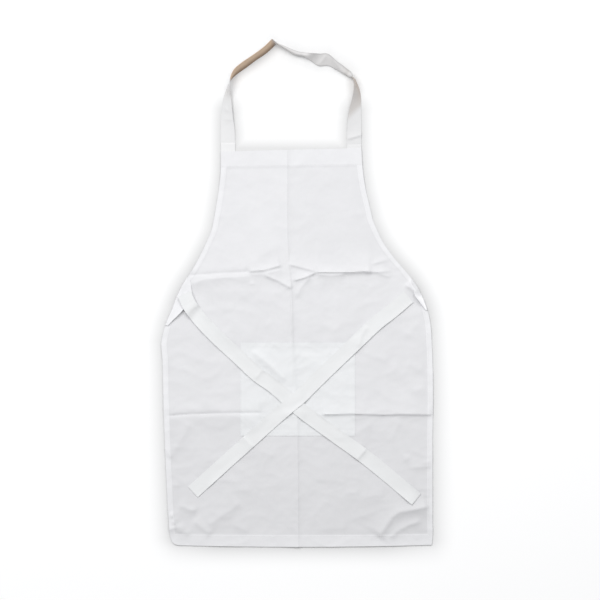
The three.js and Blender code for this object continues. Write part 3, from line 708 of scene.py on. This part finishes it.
def spread(places, step):
    """Sorted places with none closer than the least gap and none further apart than the step."""
    ordered = np.sort(places)
    apart = [ordered[0]]
    for place in ordered[1:]:
        if place - apart[-1] < LEAST_GAP:
            continue
        count = math.ceil((place - apart[-1]) / step)
        apart.extend(np.linspace(apart[-1], place, count + 1)[1:])
    return np.array(apart)


def eased(share, ease):
    """One along a fold, and zero at its two ends."""
    return smooth_step(0, ease, share) * smooth_step(0, ease, 1 - share)


def down_hip(hip, y):
    """How far down a hip's fold each height lies."""
    return (hip["high"] - y) / (hip["high"] - hip["low"])


def hip_inset(y, side):
    """How far the panel's edge is set in where it turns up into a hip's fold."""
    shares = [eased(down_hip(hip, y), INSET_EASE) for hip in HIPS if hip["side"] == side]
    return (FOLD_RADIUS + HEM) * sum(shares)


def half_columns(edge, fold, inward):
    """Columns from one side edge in to the centre fold, for every row."""
    first = edge + inward * HEM_COLUMNS[-1]
    last = fold - inward * CENTRE_COLUMNS[0]
    shares = np.linspace(0, 1, OUTER_COLUMNS + 1)[1:-1]
    hem = edge[:, None] + inward * HEM_COLUMNS
    outer = first[:, None] + (last - first)[:, None] * shares
    beside = fold[:, None] - inward * np.concatenate([CENTRE_COLUMNS, FOLD_COLUMNS])
    return np.concatenate([hem, outer, beside], axis=1)


def panel_rows():
    """Heights of the panel's rows, close together at the hems and where the cloth is creased."""
    hem_line = BOTTOM + BOTTOM_HEM
    band_line = TOP - TOP_BAND
    lines = [
        BOTTOM, BOTTOM + EDGE_ROW, hem_line, hem_line + HEM_STEP,
        band_line - HEM_STEP, band_line, TOP - EDGE_ROW, TOP,
    ]
    places = np.concatenate([lines, BOTTOM + CORNER_ROWS, [limit for limit, _ in ROW_STEPS]])
    rows = []
    low = BOTTOM
    for limit, step in ROW_STEPS:
        rows.append(spread(places[(places >= low) & (places <= limit)], step)[(1 if rows else 0):])
        low = limit
    return np.concatenate(rows)


def panel_grid():
    """Places of the panel's vertices, before its top and bottom edges are slanted and bowed."""
    rows = panel_rows()
    left = edge_at(rows, LEFT) + hip_inset(rows, LEFT)
    right = edge_at(rows, RIGHT) - hip_inset(rows, RIGHT)
    fold = centre_at(rows)
    right_half = half_columns(right, fold, -1)[:, ::-1]
    x = np.concatenate([half_columns(left, fold, 1), fold[:, None], right_half], axis=1)
    return x, np.broadcast_to(rows[:, None], x.shape)


def on_slant(x, y):
    """Heights on the drawing moved for the slant of the top edge and the bow of the bottom one."""
    slant = TOP_SLANT * x * np.clip((y - SLANT_FROM) / (TOP - SLANT_FROM), 0, 1)
    middle = np.clip(1 - (x / HALF_WIDTH) ** 2, 0, 1)
    bow = BOTTOM_BOW * middle * np.clip((y - BOW_FROM) / (BOTTOM - BOW_FROM), 0, 1)
    return y + slant - bow


def whiteness(x, y):
    """How white the panel is: its hems, and its single cloth with painted shade towards the bottom and on
    the right.
    """
    single = np.interp(y, SINGLE_HEIGHTS, SINGLE_WHITES)
    bib = smooth_step(*BIB_SHADE_HEIGHTS, y) * smooth_step(*BIB_SHADE_RUN, x - centre_at(y))
    corner = smooth_step(*CORNER_SHADE_RUN, x) * smooth_step(*CORNER_SHADE_HEIGHTS, y)
    single = (single - BIB_SHADE * bib) * (1 - CORNER_SHADE * corner)
    doubled = np.interp(y, DOUBLE_HEIGHTS, DOUBLE_WHITES)
    return single + (doubled - single) * hem_share(x, y)


def flap_whiteness(places):
    """Painted light and shade on the folded hip corners: how white the left one and the right one are."""
    left, right = [np.interp(places[:, 1], hip["bright"], hip["whites"]) for hip in HIPS]
    return np.where(places[:, 0] < 0, left, right)


def hip_rings(hip, plan, rim):
    """Lines of places from the panel's rim round a tight fold and back over the front to the free edge."""
    share, _ = hip_share(plan, rim[:, 0], rim[:, 1])
    radius = FOLD_RADIUS * (FOLD_TIGHT + (1 - FOLD_TIGHT) * eased(share, FOLD_EASE))
    lower = smooth_step(plan["tip_share"] + LIFT_EASE[0], plan["tip_share"] + LIFT_EASE[1], share)
    depth = np.maximum(hip_depth(plan, share), FLAP_LEAST)
    lift = hip["lift"] * lower * depth / plan["depth"]
    steps = [(-radius * math.cos(angle), radius * (1 + math.sin(angle))) for angle in np.radians(FOLD_ARC)]
    for part in np.linspace(0, 1, FLAP_STEPS + 1)[1:]:
        rise = 2 * radius * (1 - FLAP_SINK * (1 - lower) * part) + lift * part ** 2
        steps.append((depth * part, rise))
    inward = np.append(plan["inward"], 0.0)
    return [rim + reach[:, None] * inward + rise[:, None] * UP for reach, rise in steps]


def fold_hip(panel, hip, edge_vertices):
    """Extrudes a stretch of the panel's edge round a tight fold and back over the front to a free edge."""
    plan = hip_plan(hip)
    rim = np.array([panel.data.vertices[index].co for index in edge_vertices]) / MM - SHIFT
    choose(panel)
    select_only(panel, edge_vertices)
    for ring in hip_rings(hip, plan, rim):
        extrude_to(panel, plan, ring)


def select_only(piece, vertices):
    mesh = piece.data
    flags = np.zeros(len(mesh.vertices), dtype=bool)
    flags[vertices] = True
    mesh.polygons.foreach_set("select", np.zeros(len(mesh.polygons), dtype=bool))
    mesh.edges.foreach_set("select", np.zeros(len(mesh.edges), dtype=bool))
    mesh.vertices.foreach_set("select", flags)


def extrude_to(piece, plan, ring):
    """Extrudes the selected edge once and puts the new vertices on the line, in order along the fold."""
    bpy.ops.object.mode_set(mode="EDIT")
    bpy.ops.mesh.select_mode(type="VERT")
    bpy.ops.mesh.extrude_edges_move(TRANSFORM_OT_translate={"value": (0, 0, 0)})
    bpy.ops.object.mode_set(mode="OBJECT")
    mesh = piece.data
    new = [vertex for vertex in mesh.vertices if vertex.select]
    new.sort(key=lambda vertex: vertex.co.x * plan["chord"][0] + vertex.co.y * plan["chord"][1])
    for vertex, place in zip(new, ring):
        vertex.co = (place + SHIFT) * MM


def make_panel():
    x, rows = panel_grid()
    y = on_slant(x, rows)
    z = panel_top(x, rows)
    panel = laid_sheet("apron_panel", x, y, z)
    columns = x.shape[1]
    for hip in HIPS:
        share = down_hip(hip, rows[:, 0])
        inside = np.flatnonzero((share > HIP_ENDS) & (share < 1 - HIP_ENDS))[::-1]
        fold_hip(panel, hip, inside * columns + (0 if hip["side"] == LEFT else columns - 1))
    corners = np.array([vertex.co for vertex in panel.data.vertices[x.size:]]) / MM - SHIFT
    tone_and_painted_light(panel, as_grey(np.concatenate([whiteness(x, rows).ravel(), flap_whiteness(corners)])))
    shares = np.full(len(panel.data.vertices), CLOTH / HEM)
    shares[: x.size] = np.where(hem_share(x, rows).ravel() > 0.5, 1.0, CLOTH / HEM)
    thicken(panel, HEM, shares)
    return panel


# The pocket

def make_pocket():
    middle = centre_at(np.array([POCKET_MIDDLE]))
    across = [POCKET["left"] + POCKET_EDGES, POCKET["right"] - POCKET_EDGES, middle]
    along = [POCKET["bottom"] + POCKET_EDGES, POCKET["top"] - POCKET_EDGES, CROSS_CREASE + FINE_ROWS]
    columns = spread(np.concatenate(across), POCKET_STEP)
    rows = spread(np.concatenate(along), POCKET_STEP)
    x, y = np.meshgrid(columns, rows)
    pocket = laid_sheet("apron_pocket", x, y, pocket_top(x, y))
    white = np.interp(y, (POCKET["bottom"], POCKET["top"]), POCKET_WHITES)
    tone_and_painted_light(pocket, as_grey(white))
    thicken(pocket, POCKET_CLOTH)
    return pocket


# The ties and the neck strap

def along_line(line, step):
    """Even places along a smooth line through some points, and the direction there."""
    points = np.asarray(line, dtype=float)
    passed = run_lengths(points)
    at = np.linspace(0, passed[-1], math.ceil(passed[-1] / step) + 1)
    places = np.stack([smooth_through(passed, points[:, axis], at) for axis in (0, 1)], axis=1)
    heading = np.gradient(places, at, axis=0)
    heading /= np.linalg.norm(heading, axis=1, keepdims=True)
    return at, places, heading


def tie_plan(line):
    """Places of a tie's vertices, and how far along it and how far to its right each one is."""
    at, places, heading = along_line(line, TAPE_STEP)
    aside = np.linspace(-TAPE / 2, TAPE / 2, TAPE_COLUMNS)
    x = places[:, 0, None] + heading[:, 1, None] * aside
    y = places[:, 1, None] - heading[:, 0, None] * aside
    return x, y, np.broadcast_to(at[:, None], x.shape), np.broadcast_to(aside, x.shape)


def curl(x, y, aside, lift):
    """Curl of a tie's lower edge, which is on the right of its way if the lift is above zero."""
    loose = 1 + CURL_CHANGE * lumps(x, y, *CURLS)
    return abs(lift) * lower_share(aside, lift) ** 3 * off_crossing(x, y) * loose


def off_crossing(x, y):
    """Zero where the ties cross and press each other flat, and one further off."""
    return smooth_step(*PRESSED_REACH, np.hypot(x - CROSSING[0], y - CROSSING[1]))


def lower_share(aside, lift):
    """How far across a tie each place is, from its upper edge to its lower one."""
    return 0.5 + 0.5 * np.sign(lift) * aside / (TAPE / 2)


def settled(heights):
    """Heights along a tie, raised and smoothed so that it climbs gently on to what it crosses."""
    reach = 2 * SETTLE + 1
    padded = np.pad(heights, ((SETTLE, SETTLE), (0, 0)), mode="edge")
    raised = np.lib.stride_tricks.sliding_window_view(padded, reach, axis=0).max(axis=-1)
    padded = np.pad(raised, ((SETTLE, SETTLE), (0, 0)), mode="edge")
    weights = np.hanning(reach + 2)[1:-1]
    return np.lib.stride_tricks.sliding_window_view(padded, reach, axis=0) @ (weights / weights.sum())


def left_tie_top(x, y):
    """Height of the left tie's upper face where the right tie crosses it, on the pocket."""
    _, left_of = nearest_on_line(x, y, LEFT_TIE)
    over = pocket_top(x, y) + LAY_GAP + TAPE_WALL + curl(x, y, -left_of, LEFT_CURL)
    return np.where(np.abs(left_of) < TAPE / 2 + TIE_MARGIN, over, NOWHERE)


def make_tie(name, line, lift, creases, whites, layers):
    x, y, at, aside = tie_plan(line)
    rest = settled(highest(layers, x, y))
    creased = sum(ridge(x, y, *crease) for crease in creases)
    easing = 1 - CURL_LOSS * at / at.max()
    z = rest + LAY_GAP + TAPE_WALL + easing * curl(x, y, aside, lift) + creased
    tie = laid_sheet(name, x, y, z)
    lay_out_uv(tie, aside, at)
    # painted highlight along the curled edge
    lip = smooth_step(LIP_FROM, 1, lower_share(aside, lift))
    white = np.interp(at / at.max(), *whites) * (1 + (LIP_WHITE - 1) * lip)
    white = white * (CROSS_WHITE + (1 - CROSS_WHITE) * off_crossing(x, y))
    tone_and_painted_light(tie, as_grey(white))
    thicken(tie, TAPE_WALL)
    return tie, np.stack([x, y, z], axis=-1)


def swell(rows, rise, fall):
    """A share that grows over the rise's two rows. It shrinks from the fall's second row to its first."""
    return smooth_step(*rise, rows) * smooth_step(*fall, rows)


def between(rows, first, last, blend):
    return swell(rows, (first - blend, first + blend), (last + blend, last - blend))


def across_and_up(rolled):
    """Shares of the way across and of the way up for each column of a tape, which leans straight where it
    isn't rolled, and stands up and curls over where it is."""
    lean = np.linspace(0, 1, TAPE_COLUMNS)
    turn = lean * math.pi / 2
    across = lean + (1 - np.sqrt(np.cos(turn)) - lean) * rolled[:, None]
    up = lean + (np.sqrt(np.sin(turn)) - lean) * rolled[:, None]
    return np.stack([across, across, up], axis=-1)


def strap_heights(rows):
    """How high the raised edge stands at each of the drawing's rows, and how far the tape is rolled."""
    apart = np.hypot(STRAP[:, 2] - STRAP[:, 0], STRAP[:, 3] - STRAP[:, 1])
    twisted = PRESSED_RISE + (1 - PRESSED_RISE) * swell(rows, RISE_ROWS, FALL_ROWS)
    rise = np.sqrt(np.maximum(TAPE ** 2 - apart ** 2, 0)) * twisted
    rolled = sum(between(rows, *span, ROLL_BLEND) for span in ROLLED_ROWS)
    return rise + (ROLL_REACH - apart - rise) * rolled, rolled


def strap_surface(drawn, at, seams):
    """Sections of the strap at some lengths along it, from the drawing's values there."""
    floor_x, floor_y, raised_x, raised_y, rise, rolled = drawn
    floor = np.stack([floor_x, floor_y, np.full(len(at), STRAP_FLOOR)], axis=1)
    raised = np.stack([raised_x, raised_y, np.maximum(rise, 0) + STRAP_FLOOR], axis=1)
    surface = floor[:, None] + (raised - floor)[:, None] * across_and_up(np.clip(rolled, 0, 1))
    before = smooth_step(seams[0] + SEAM_RUN, seams[0] - SEAM_RUN, at)
    after = smooth_step(seams[1] - SEAM_RUN, seams[1] + SEAM_RUN, at)
    surface[..., 2] += sum(ridge(surface[..., 0], surface[..., 1], *crease) for crease in STRAP_CREASES)
    surface[..., 2] += SEAM_STEP * (before + after)[:, None]
    return surface


def strap_sections():
    """Sections across the strap's middle surface, from its edge on the table up, and their rows."""
    rows = np.arange(len(STRAP))
    rise, rolled = strap_heights(rows)
    passed = run_lengths((STRAP[:, :2] + STRAP[:, 2:]) / 2)
    seams = np.interp(SEAM_ROWS, rows, passed)
    sections = []
    section_rows = []
    for first, last, seam in ((0, STRAP_KINK, seams[0]), (STRAP_KINK, len(STRAP) - 1, seams[1])):
        part = slice(first, last + 1)
        at = spread(np.concatenate([passed[[first, last]], seam + SEAM_FINE]), TAPE_STEP)
        at = at[1:] if sections else at
        drawn = [smooth_through(passed[part], column[part], at) for column in (*STRAP.T, rise, rolled)]
        sections.append(strap_surface(drawn, at, seams))
        section_rows.append(np.interp(at, passed, rows))
    return np.concatenate(sections), np.concatenate(section_rows)


def make_strap():
    sections, rows = strap_sections()
    strap = laid_sheet("apron_neck_strap", sections[..., 0], sections[..., 1], sections[..., 2])
    shape = sections.shape[:2]
    across = np.broadcast_to(np.linspace(0, TAPE, TAPE_COLUMNS), shape)
    along = np.broadcast_to(run_lengths(sections.mean(axis=1))[:, None], shape)
    lay_out_uv(strap, across, along)
    tone_and_painted_light(strap, np.ones((shape[0] * shape[1], 3)))
    thicken(strap, TAPE_WALL, offset=0.0)
    paint_strap(strap, rows, shape)
    return strap, sections


def tint(colour, share):
    """White where the share is zero, and the colour where it is one."""
    return 1 + (np.asarray(colour) - 1) * share


def strap_colours(rows, up):
    """Colours of both faces of the strap, mostly painted shade, without the tan on its back."""
    later = rows - WARM_SLANT * up
    brown = swell(rows, BROWN_START, BROWN_END) * (1 - BROWN_EDGE * up)
    tabs = (rows < SEAM_ROWS[0]) | (rows > SEAM_ROWS[1])
    edges = smooth_step(EDGE_SHARE, 0, up) + smooth_step(1 - EDGE_SHARE, 1, up)
    colours = tint(WARM, swell(later, WARM_START, WARM_END)) * tint(BROWN, brown)
    colours = colours * tint([TAB_WHITE] * 3, tabs)
    for span, blend, colour in STRETCHES:
        colours = colours * tint(colour, between(rows, *span, blend))
    colours = colours * (1 - LEFT_SHADE * swell(rows, LEFT_START, LEFT_END))
    colours = colours * (1 - RIGHT_SHADE * smooth_step(*BROWN_END[::-1], rows))
    return colours * (1 - EDGE_SHADE * edges * between(rows, *EDGE_ROWS, EDGE_BLEND))


def paint_strap(strap, rows, shape):
    """Colours the strap: tan on a stretch of its back, and painted shade in browns and greys on both faces.
    """
    rows = rows[:, None, None]
    up = np.linspace(0, 1, shape[1])[None, :, None]
    front = strap_colours(rows, up)
    # tan, darkened by painted shade towards the edge on the table
    tan_and_edge_shade = DARK_TAN + (TAN - DARK_TAN) * smooth_step(0, TAN_RUN, up)
    back = front * tint(tan_and_edge_shade, between(rows, *TAN_ROWS, TAN_BLEND))
    colours = np.ones((len(strap.data.vertices), 3))
    count = shape[0] * shape[1]
    colours[:count] = front.reshape(-1, 3)
    colours[count: 2 * count] = back.reshape(-1, 3)
    tone_and_painted_light(strap, colours)


# Stitching

def evenly(points, pitch):
    """Places at an even pitch along a line of points, and the direction of the line there."""
    passed = run_lengths(points)
    at = np.arange(pitch / 2, passed[-1], pitch)
    places = np.stack([np.interp(at, passed, points[:, axis]) for axis in range(3)], axis=1)
    ahead = np.stack([np.interp(at + pitch / 4, passed, points[:, axis]) for axis in range(3)], axis=1)
    heading = ahead - places
    return places, heading / np.linalg.norm(heading, axis=1, keepdims=True)


def one_stitch():
    """Vertices and faces of a single short thread, lying along +X."""
    start_alone()
    bpy.ops.mesh.primitive_ico_sphere_add(subdivisions=1, radius=1)
    bead = bpy.context.object
    vertices = np.array([vertex.co for vertex in bead.data.vertices])
    faces = np.array([list(face.vertices) for face in bead.data.polygons])
    bpy.data.objects.remove(bead)
    return vertices, faces


def make_stitches(name, lines, half_height=STITCH_SIZE[2]):
    """One mesh of short threads, end to end along each line. A line comes with the way its cloth faces."""
    bead, bead_faces = one_stitch()
    size = np.array([STITCH_SIZE[0], STITCH_SIZE[1], half_height])
    vertices = []
    faces = []
    count = 0
    for points, facing in lines:
        places, heading = evenly(points, STITCH_PITCH)
        for place, ahead in zip(places, heading):
            nearest = np.argmin(np.linalg.norm(points - place, axis=1))
            up = UP if facing is None else facing[nearest]
            side = np.cross(up, ahead)
            side /= np.linalg.norm(side)
            turned = (bead * size) @ np.array([ahead, side, np.cross(ahead, side)])
            vertices.append(turned + place)
            faces.append(bead_faces + count)
            count += len(bead)
    mesh = bpy.data.meshes.new(name)
    mesh.from_pydata(((np.concatenate(vertices) + SHIFT) * MM).tolist(), [], np.concatenate(faces).tolist())
    threads = bpy.data.objects.new(name, mesh)
    bpy.context.scene.collection.objects.link(threads)
    return threads


def panel_stitch_lines():
    """Lines along the side hems, the bottom hem and the band."""
    inner = SIDE_HEM - STITCH_INSET
    heights = np.arange(BOTTOM + BOTTOM_HEM, TOP - TOP_BAND, LINE_STEP)
    lines = [(edge_at(heights, LEFT) + inner, heights), (edge_at(heights, RIGHT) - inner, heights)]
    for height in (BOTTOM + BOTTOM_HEM - STITCH_INSET, TOP - TOP_BAND + STITCH_INSET):
        start = float(edge_at(height, LEFT)) + STITCH_INSET
        end = float(edge_at(height, RIGHT)) - STITCH_INSET
        across = np.arange(start, end, LINE_STEP)
        lines.append((across, np.full(len(across), height)))
    return [(np.stack([x, on_slant(x, y), panel_top(x, y)], axis=1), None) for x, y in lines]


def pocket_stitch_lines():
    left = POCKET["left"] + STITCH_INSET
    right = POCKET["right"] - STITCH_INSET
    low = POCKET["bottom"] + STITCH_INSET
    mouth = POCKET["top"] - POCKET_HEM + STITCH_INSET
    up = np.arange(low, POCKET["top"], LINE_STEP)
    along = np.arange(left, right, LINE_STEP)
    lines = [
        (np.full(len(up), left), up),
        (np.full(len(up), right), up),
        (along, np.full(len(along), low)),
        (along, np.full(len(along), mouth)),
    ]
    return [(np.stack([x, y, pocket_top(x, y)], axis=1), None) for x, y in lines]


def edge_stitch_lines(sections):
    """Two lines along a tape, a little way in from its edges, and the way that the tape faces there."""
    place = STITCH_INSET / TAPE * (TAPE_COLUMNS - 1)
    column = int(place)
    lines = []
    for tape in (sections, sections[:, ::-1]):
        across = tape[:, column + 1] - tape[:, column]
        line = tape[:, column] + across * (place - column)
        facing = np.cross(across, np.gradient(line, axis=0))
        lines.append((line, facing / np.linalg.norm(facing, axis=1, keepdims=True)))
    return lines


def tie_stitch_lines(sections):
    """Lines round a tie: along both edges, across the end that is sewn on, and across the free end."""
    row = round(STITCH_INSET / TAPE_STEP)
    across = [sections[row, 1:-1], sections[-1 - row, 1:-1], sections[SEWN_ROW, 1:-1]]
    return edge_stitch_lines(sections) + [(line, None) for line in across]


# Materials

def set_inputs(shader_node, inputs):
    for name, value in inputs.items():
        shader_node.inputs[name].default_value = value


def node(material, kind, inputs=None, **settings):
    """A new shader node with the given settings and the given numbers on its inputs."""
    made = material.node_tree.nodes.new(kind)
    for name, value in settings.items():
        setattr(made, name, value)
    set_inputs(made, inputs or {})
    return made


def new_material(name, inputs):
    """A new material, and its shader with the given numbers on its inputs."""
    material = bpy.data.materials.new(name)
    material.use_nodes = True
    shader = material.node_tree.nodes["Principled BSDF"]
    set_inputs(shader, inputs)
    return material, shader


def uneven_tone_and_light(material, colour, place):
    """The slot's colour in faint patches, times the stored tone with its painted light and shade."""
    links = material.node_tree.links
    patches = node(material, "ShaderNodeTexNoise", {"Scale": 16, "Detail": 4})
    uneven = node(material, "ShaderNodeValToRGB")
    for element, position, white in zip(uneven.color_ramp.elements, (0.3, 0.7), (PATCH_WHITE, 1)):
        element.position = position
        element.color = (*[part * white for part in colour], 1)
    stored_tone_and_light = node(material, "ShaderNodeAttribute", attribute_name="tone_and_painted_light")
    mix = node(material, "ShaderNodeMix", {"Factor": 1}, data_type="RGBA", blend_type="MULTIPLY")
    links.new(place, patches.inputs["Vector"])
    links.new(patches.outputs["Fac"], uneven.inputs["Fac"])
    links.new(uneven.outputs["Color"], mix.inputs["A"])
    links.new(stored_tone_and_light.outputs["Color"], mix.inputs["B"])
    return mix.outputs["Result"]


def woven_face(material, place, weave_place):
    """Two crossed sets of yarns over small soft dents."""
    links = material.node_tree.links
    crossed = node(material, "ShaderNodeMath", operation="MULTIPLY")
    yarn_scale = 2 * math.pi / (WAVE_TURN * WEAVE_PITCH * MM)
    yarn_inputs = {"Scale": yarn_scale, "Distortion": 1.2, "Detail Scale": 2}
    for slot, direction in enumerate(("X", "Y")):
        yarns = node(
            material, "ShaderNodeTexWave", yarn_inputs, wave_type="BANDS", bands_direction=direction)
        links.new(weave_place, yarns.inputs["Vector"])
        links.new(yarns.outputs["Fac"], crossed.inputs[slot])
    dents = node(material, "ShaderNodeTexNoise", {"Scale": 75, "Detail": 3})
    soft = node(material, "ShaderNodeBump", {"Strength": 0.5, "Distance": DENT_DEPTH * MM})
    weave = node(material, "ShaderNodeBump", {"Strength": 0.4, "Distance": WEAVE_DEPTH * MM})
    links.new(place, dents.inputs["Vector"])
    links.new(dents.outputs["Fac"], soft.inputs["Height"])
    links.new(crossed.outputs["Value"], weave.inputs["Height"])
    links.new(soft.outputs["Normal"], weave.inputs["Normal"])
    return weave.outputs["Normal"]


def cotton(name, colour, coordinates):
    """Plain-weave cotton, matt and faintly uneven."""
    material, shader = new_material(name, {
        "Roughness": 0.92, "Specular IOR Level": 0.18, "Sheen Weight": 0.06, "Sheen Roughness": 0.5,
    })
    links = material.node_tree.links
    places = node(material, "ShaderNodeTexCoord").outputs
    links.new(uneven_tone_and_light(material, colour, places["Object"]), shader.inputs["Base Color"])
    links.new(woven_face(material, places["Object"], places[coordinates]), shader.inputs["Normal"])
    return material


def thread_material():
    material, shader = new_material("white_thread", {"Roughness": 0.75})
    links = material.node_tree.links
    place = node(material, "ShaderNodeTexCoord")
    twist = node(material, "ShaderNodeTexNoise", {"Scale": 900})
    shades = node(material, "ShaderNodeValToRGB")
    shades.color_ramp.elements[0].color = (0.66, 0.66, 0.67, 1)
    shades.color_ramp.elements[1].color = (0.80, 0.80, 0.80, 1)
    links.new(place.outputs["Object"], twist.inputs["Vector"])
    links.new(twist.outputs["Fac"], shades.inputs["Fac"])
    links.new(shades.outputs["Color"], shader.inputs["Base Color"])
    return material


def finish_piece(piece, material, slot, *nodes):
    """Gives a piece its cloth and ties it to the frame in place of the given nodes."""
    piece.data.materials.clear()
    piece.data.materials.append(material)
    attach(piece, "root")
    if nodes:
        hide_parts(*nodes)


# Setting up the table, the light and the camera

def apron_outlines():
    """Lines round the panel and along both edges of the strap."""
    left = OUTLINE[:, [LEFT, 0]]
    right = OUTLINE[::-1, [RIGHT, 0]]
    panel_line = np.concatenate([left, right, left[:1]])
    return [panel_line, STRAP[:, :2], STRAP[:, 2:]]


def border_shade(x, y):
    """Painted shadow on the table: how much it is darkened, fading out softly round the apron."""
    beside = np.interp(y, BORDER_HEIGHTS, BORDER_SHADES)
    below = np.interp(np.abs(x), HEM_PLACES, HEM_SHADES)
    deepest = beside + (below - beside) * smooth_step(BOTTOM + HEM_REACH, BOTTOM - HEM_REACH, y)
    reach = np.interp(y, WIDER_HEIGHTS, BORDER_REACHES)
    shade = np.zeros(x.shape)
    for line in apron_outlines():
        away = np.abs(nearest_on_line(x, y, line)[1])
        shade = np.maximum(shade, deepest * np.clip(1 - away / reach, 0, 1) ** 2)
    return shade


def make_table():
    columns, rows = [
        np.concatenate([[-TABLE_REACH], np.arange(-half, half + 1, BORDER_STEP), [TABLE_REACH]])
        for half in BORDER_BOX
    ]
    x, y = np.meshgrid(columns, rows)
    table = laid_sheet("white_table", x, y, np.full(x.shape, -FLOOR_DROP))
    # the table's even white, with the painted shadow round the apron
    white = TABLE_WHITE * (1 - border_shade(x, y))
    tone_and_painted_light(table, as_grey(white))
    table.data.materials.append(table_material())
    return table


def table_material():
    material, shader = new_material("white_table", {
        "Roughness": 0.8, "Specular IOR Level": 0.1,
        "Emission Color": (1, 1, 1, 1), "Emission Strength": 0.08,
    })
    # the table's white with its painted shadow
    white = node(material, "ShaderNodeAttribute", attribute_name="tone_and_painted_light")
    material.node_tree.links.new(white.outputs["Color"], shader.inputs["Base Color"])
    return material


def soft_light(name, place, watts):
    """A wide square light that shines on the apron's middle."""
    start_alone()
    bpy.ops.object.light_add(type="AREA", location=place)
    lamp = bpy.context.object
    lamp.name = name
    lamp.data.shape = "SQUARE"
    lamp.data.size = WINDOW_SIZE
    lamp.data.energy = watts
    lamp.rotation_euler = (Vector(WINDOW_AIM) - Vector(place)).to_track_quat("-Z", "Y").to_euler()


def make_studio():
    scene = bpy.context.scene
    world = bpy.data.worlds.new("soft_room")
    world.use_nodes = True
    set_inputs(world.node_tree.nodes["Background"], {"Color": ROOM_COLOUR, "Strength": ROOM_LIGHT})
    scene.world = world
    for window in WINDOWS:
        soft_light(*window)
    scene.view_settings.view_transform = "Standard"
    scene.view_settings.look = "None"


def make_camera():
    camera = bpy.data.objects.new("above", bpy.data.cameras.new("above"))
    bpy.context.scene.collection.objects.link(camera)
    camera.data.sensor_width = SENSOR
    camera.data.lens = SENSOR * CAMERA_HEIGHT / VIEW_WIDTH
    centre = (VIEW_CENTRE + SHIFT) * MM
    camera.location = (centre[0], centre[1], CAMERA_HEIGHT)
    bpy.context.scene.camera = camera


table = make_table()
make_studio()
make_camera()

panel = make_panel()
pocket = make_pocket()
strap, strap_rows = make_strap()
skirt_layers = [panel_top, hip_top, pocket_top]
left_tie, left_rows = make_tie(
    "apron_tie_left", LEFT_TIE, LEFT_CURL, LEFT_TIE_CREASES, LEFT_TIE_WHITES, skirt_layers)
tie_layers = [*skirt_layers, left_tie_top]
right_tie, right_rows = make_tie(
    "apron_tie_right", RIGHT_TIE, RIGHT_CURL, RIGHT_TIE_CREASES, RIGHT_TIE_WHITES, tie_layers)

cottons = {slot: cotton(slot, *look) for slot, look in COTTONS.items()}
thread = thread_material()
for piece, slot, replaced in (
    (panel, "panel_cotton", "panel"),
    (pocket, "pocket_cotton", "pocket"),
    (strap, "strap_cotton", "neck_strap"),
    (left_tie, "tie_cotton", "waist_tie_left"),
    (right_tie, "tie_cotton", "waist_tie_right"),
):
    finish_piece(piece, cottons[slot], slot, replaced)

panel_stitches = make_stitches("panel_stitches", panel_stitch_lines())
pocket_stitches = make_stitches("pocket_stitches", pocket_stitch_lines())
strap_stitches = make_stitches("strap_stitches", edge_stitch_lines(strap_rows), THROUGH_STITCH)
left_stitches = make_stitches("tie_left_stitches", tie_stitch_lines(left_rows))
right_stitches = make_stitches("tie_right_stitches", tie_stitch_lines(right_rows))
for stitches, slot in (
    (panel_stitches, "panel_cotton"),
    (pocket_stitches, "pocket_cotton"),
    (strap_stitches, "strap_cotton"),
    (left_stitches, "tie_cotton"),
    (right_stitches, "tie_cotton"),
):
    finish_piece(stitches, thread, slot)
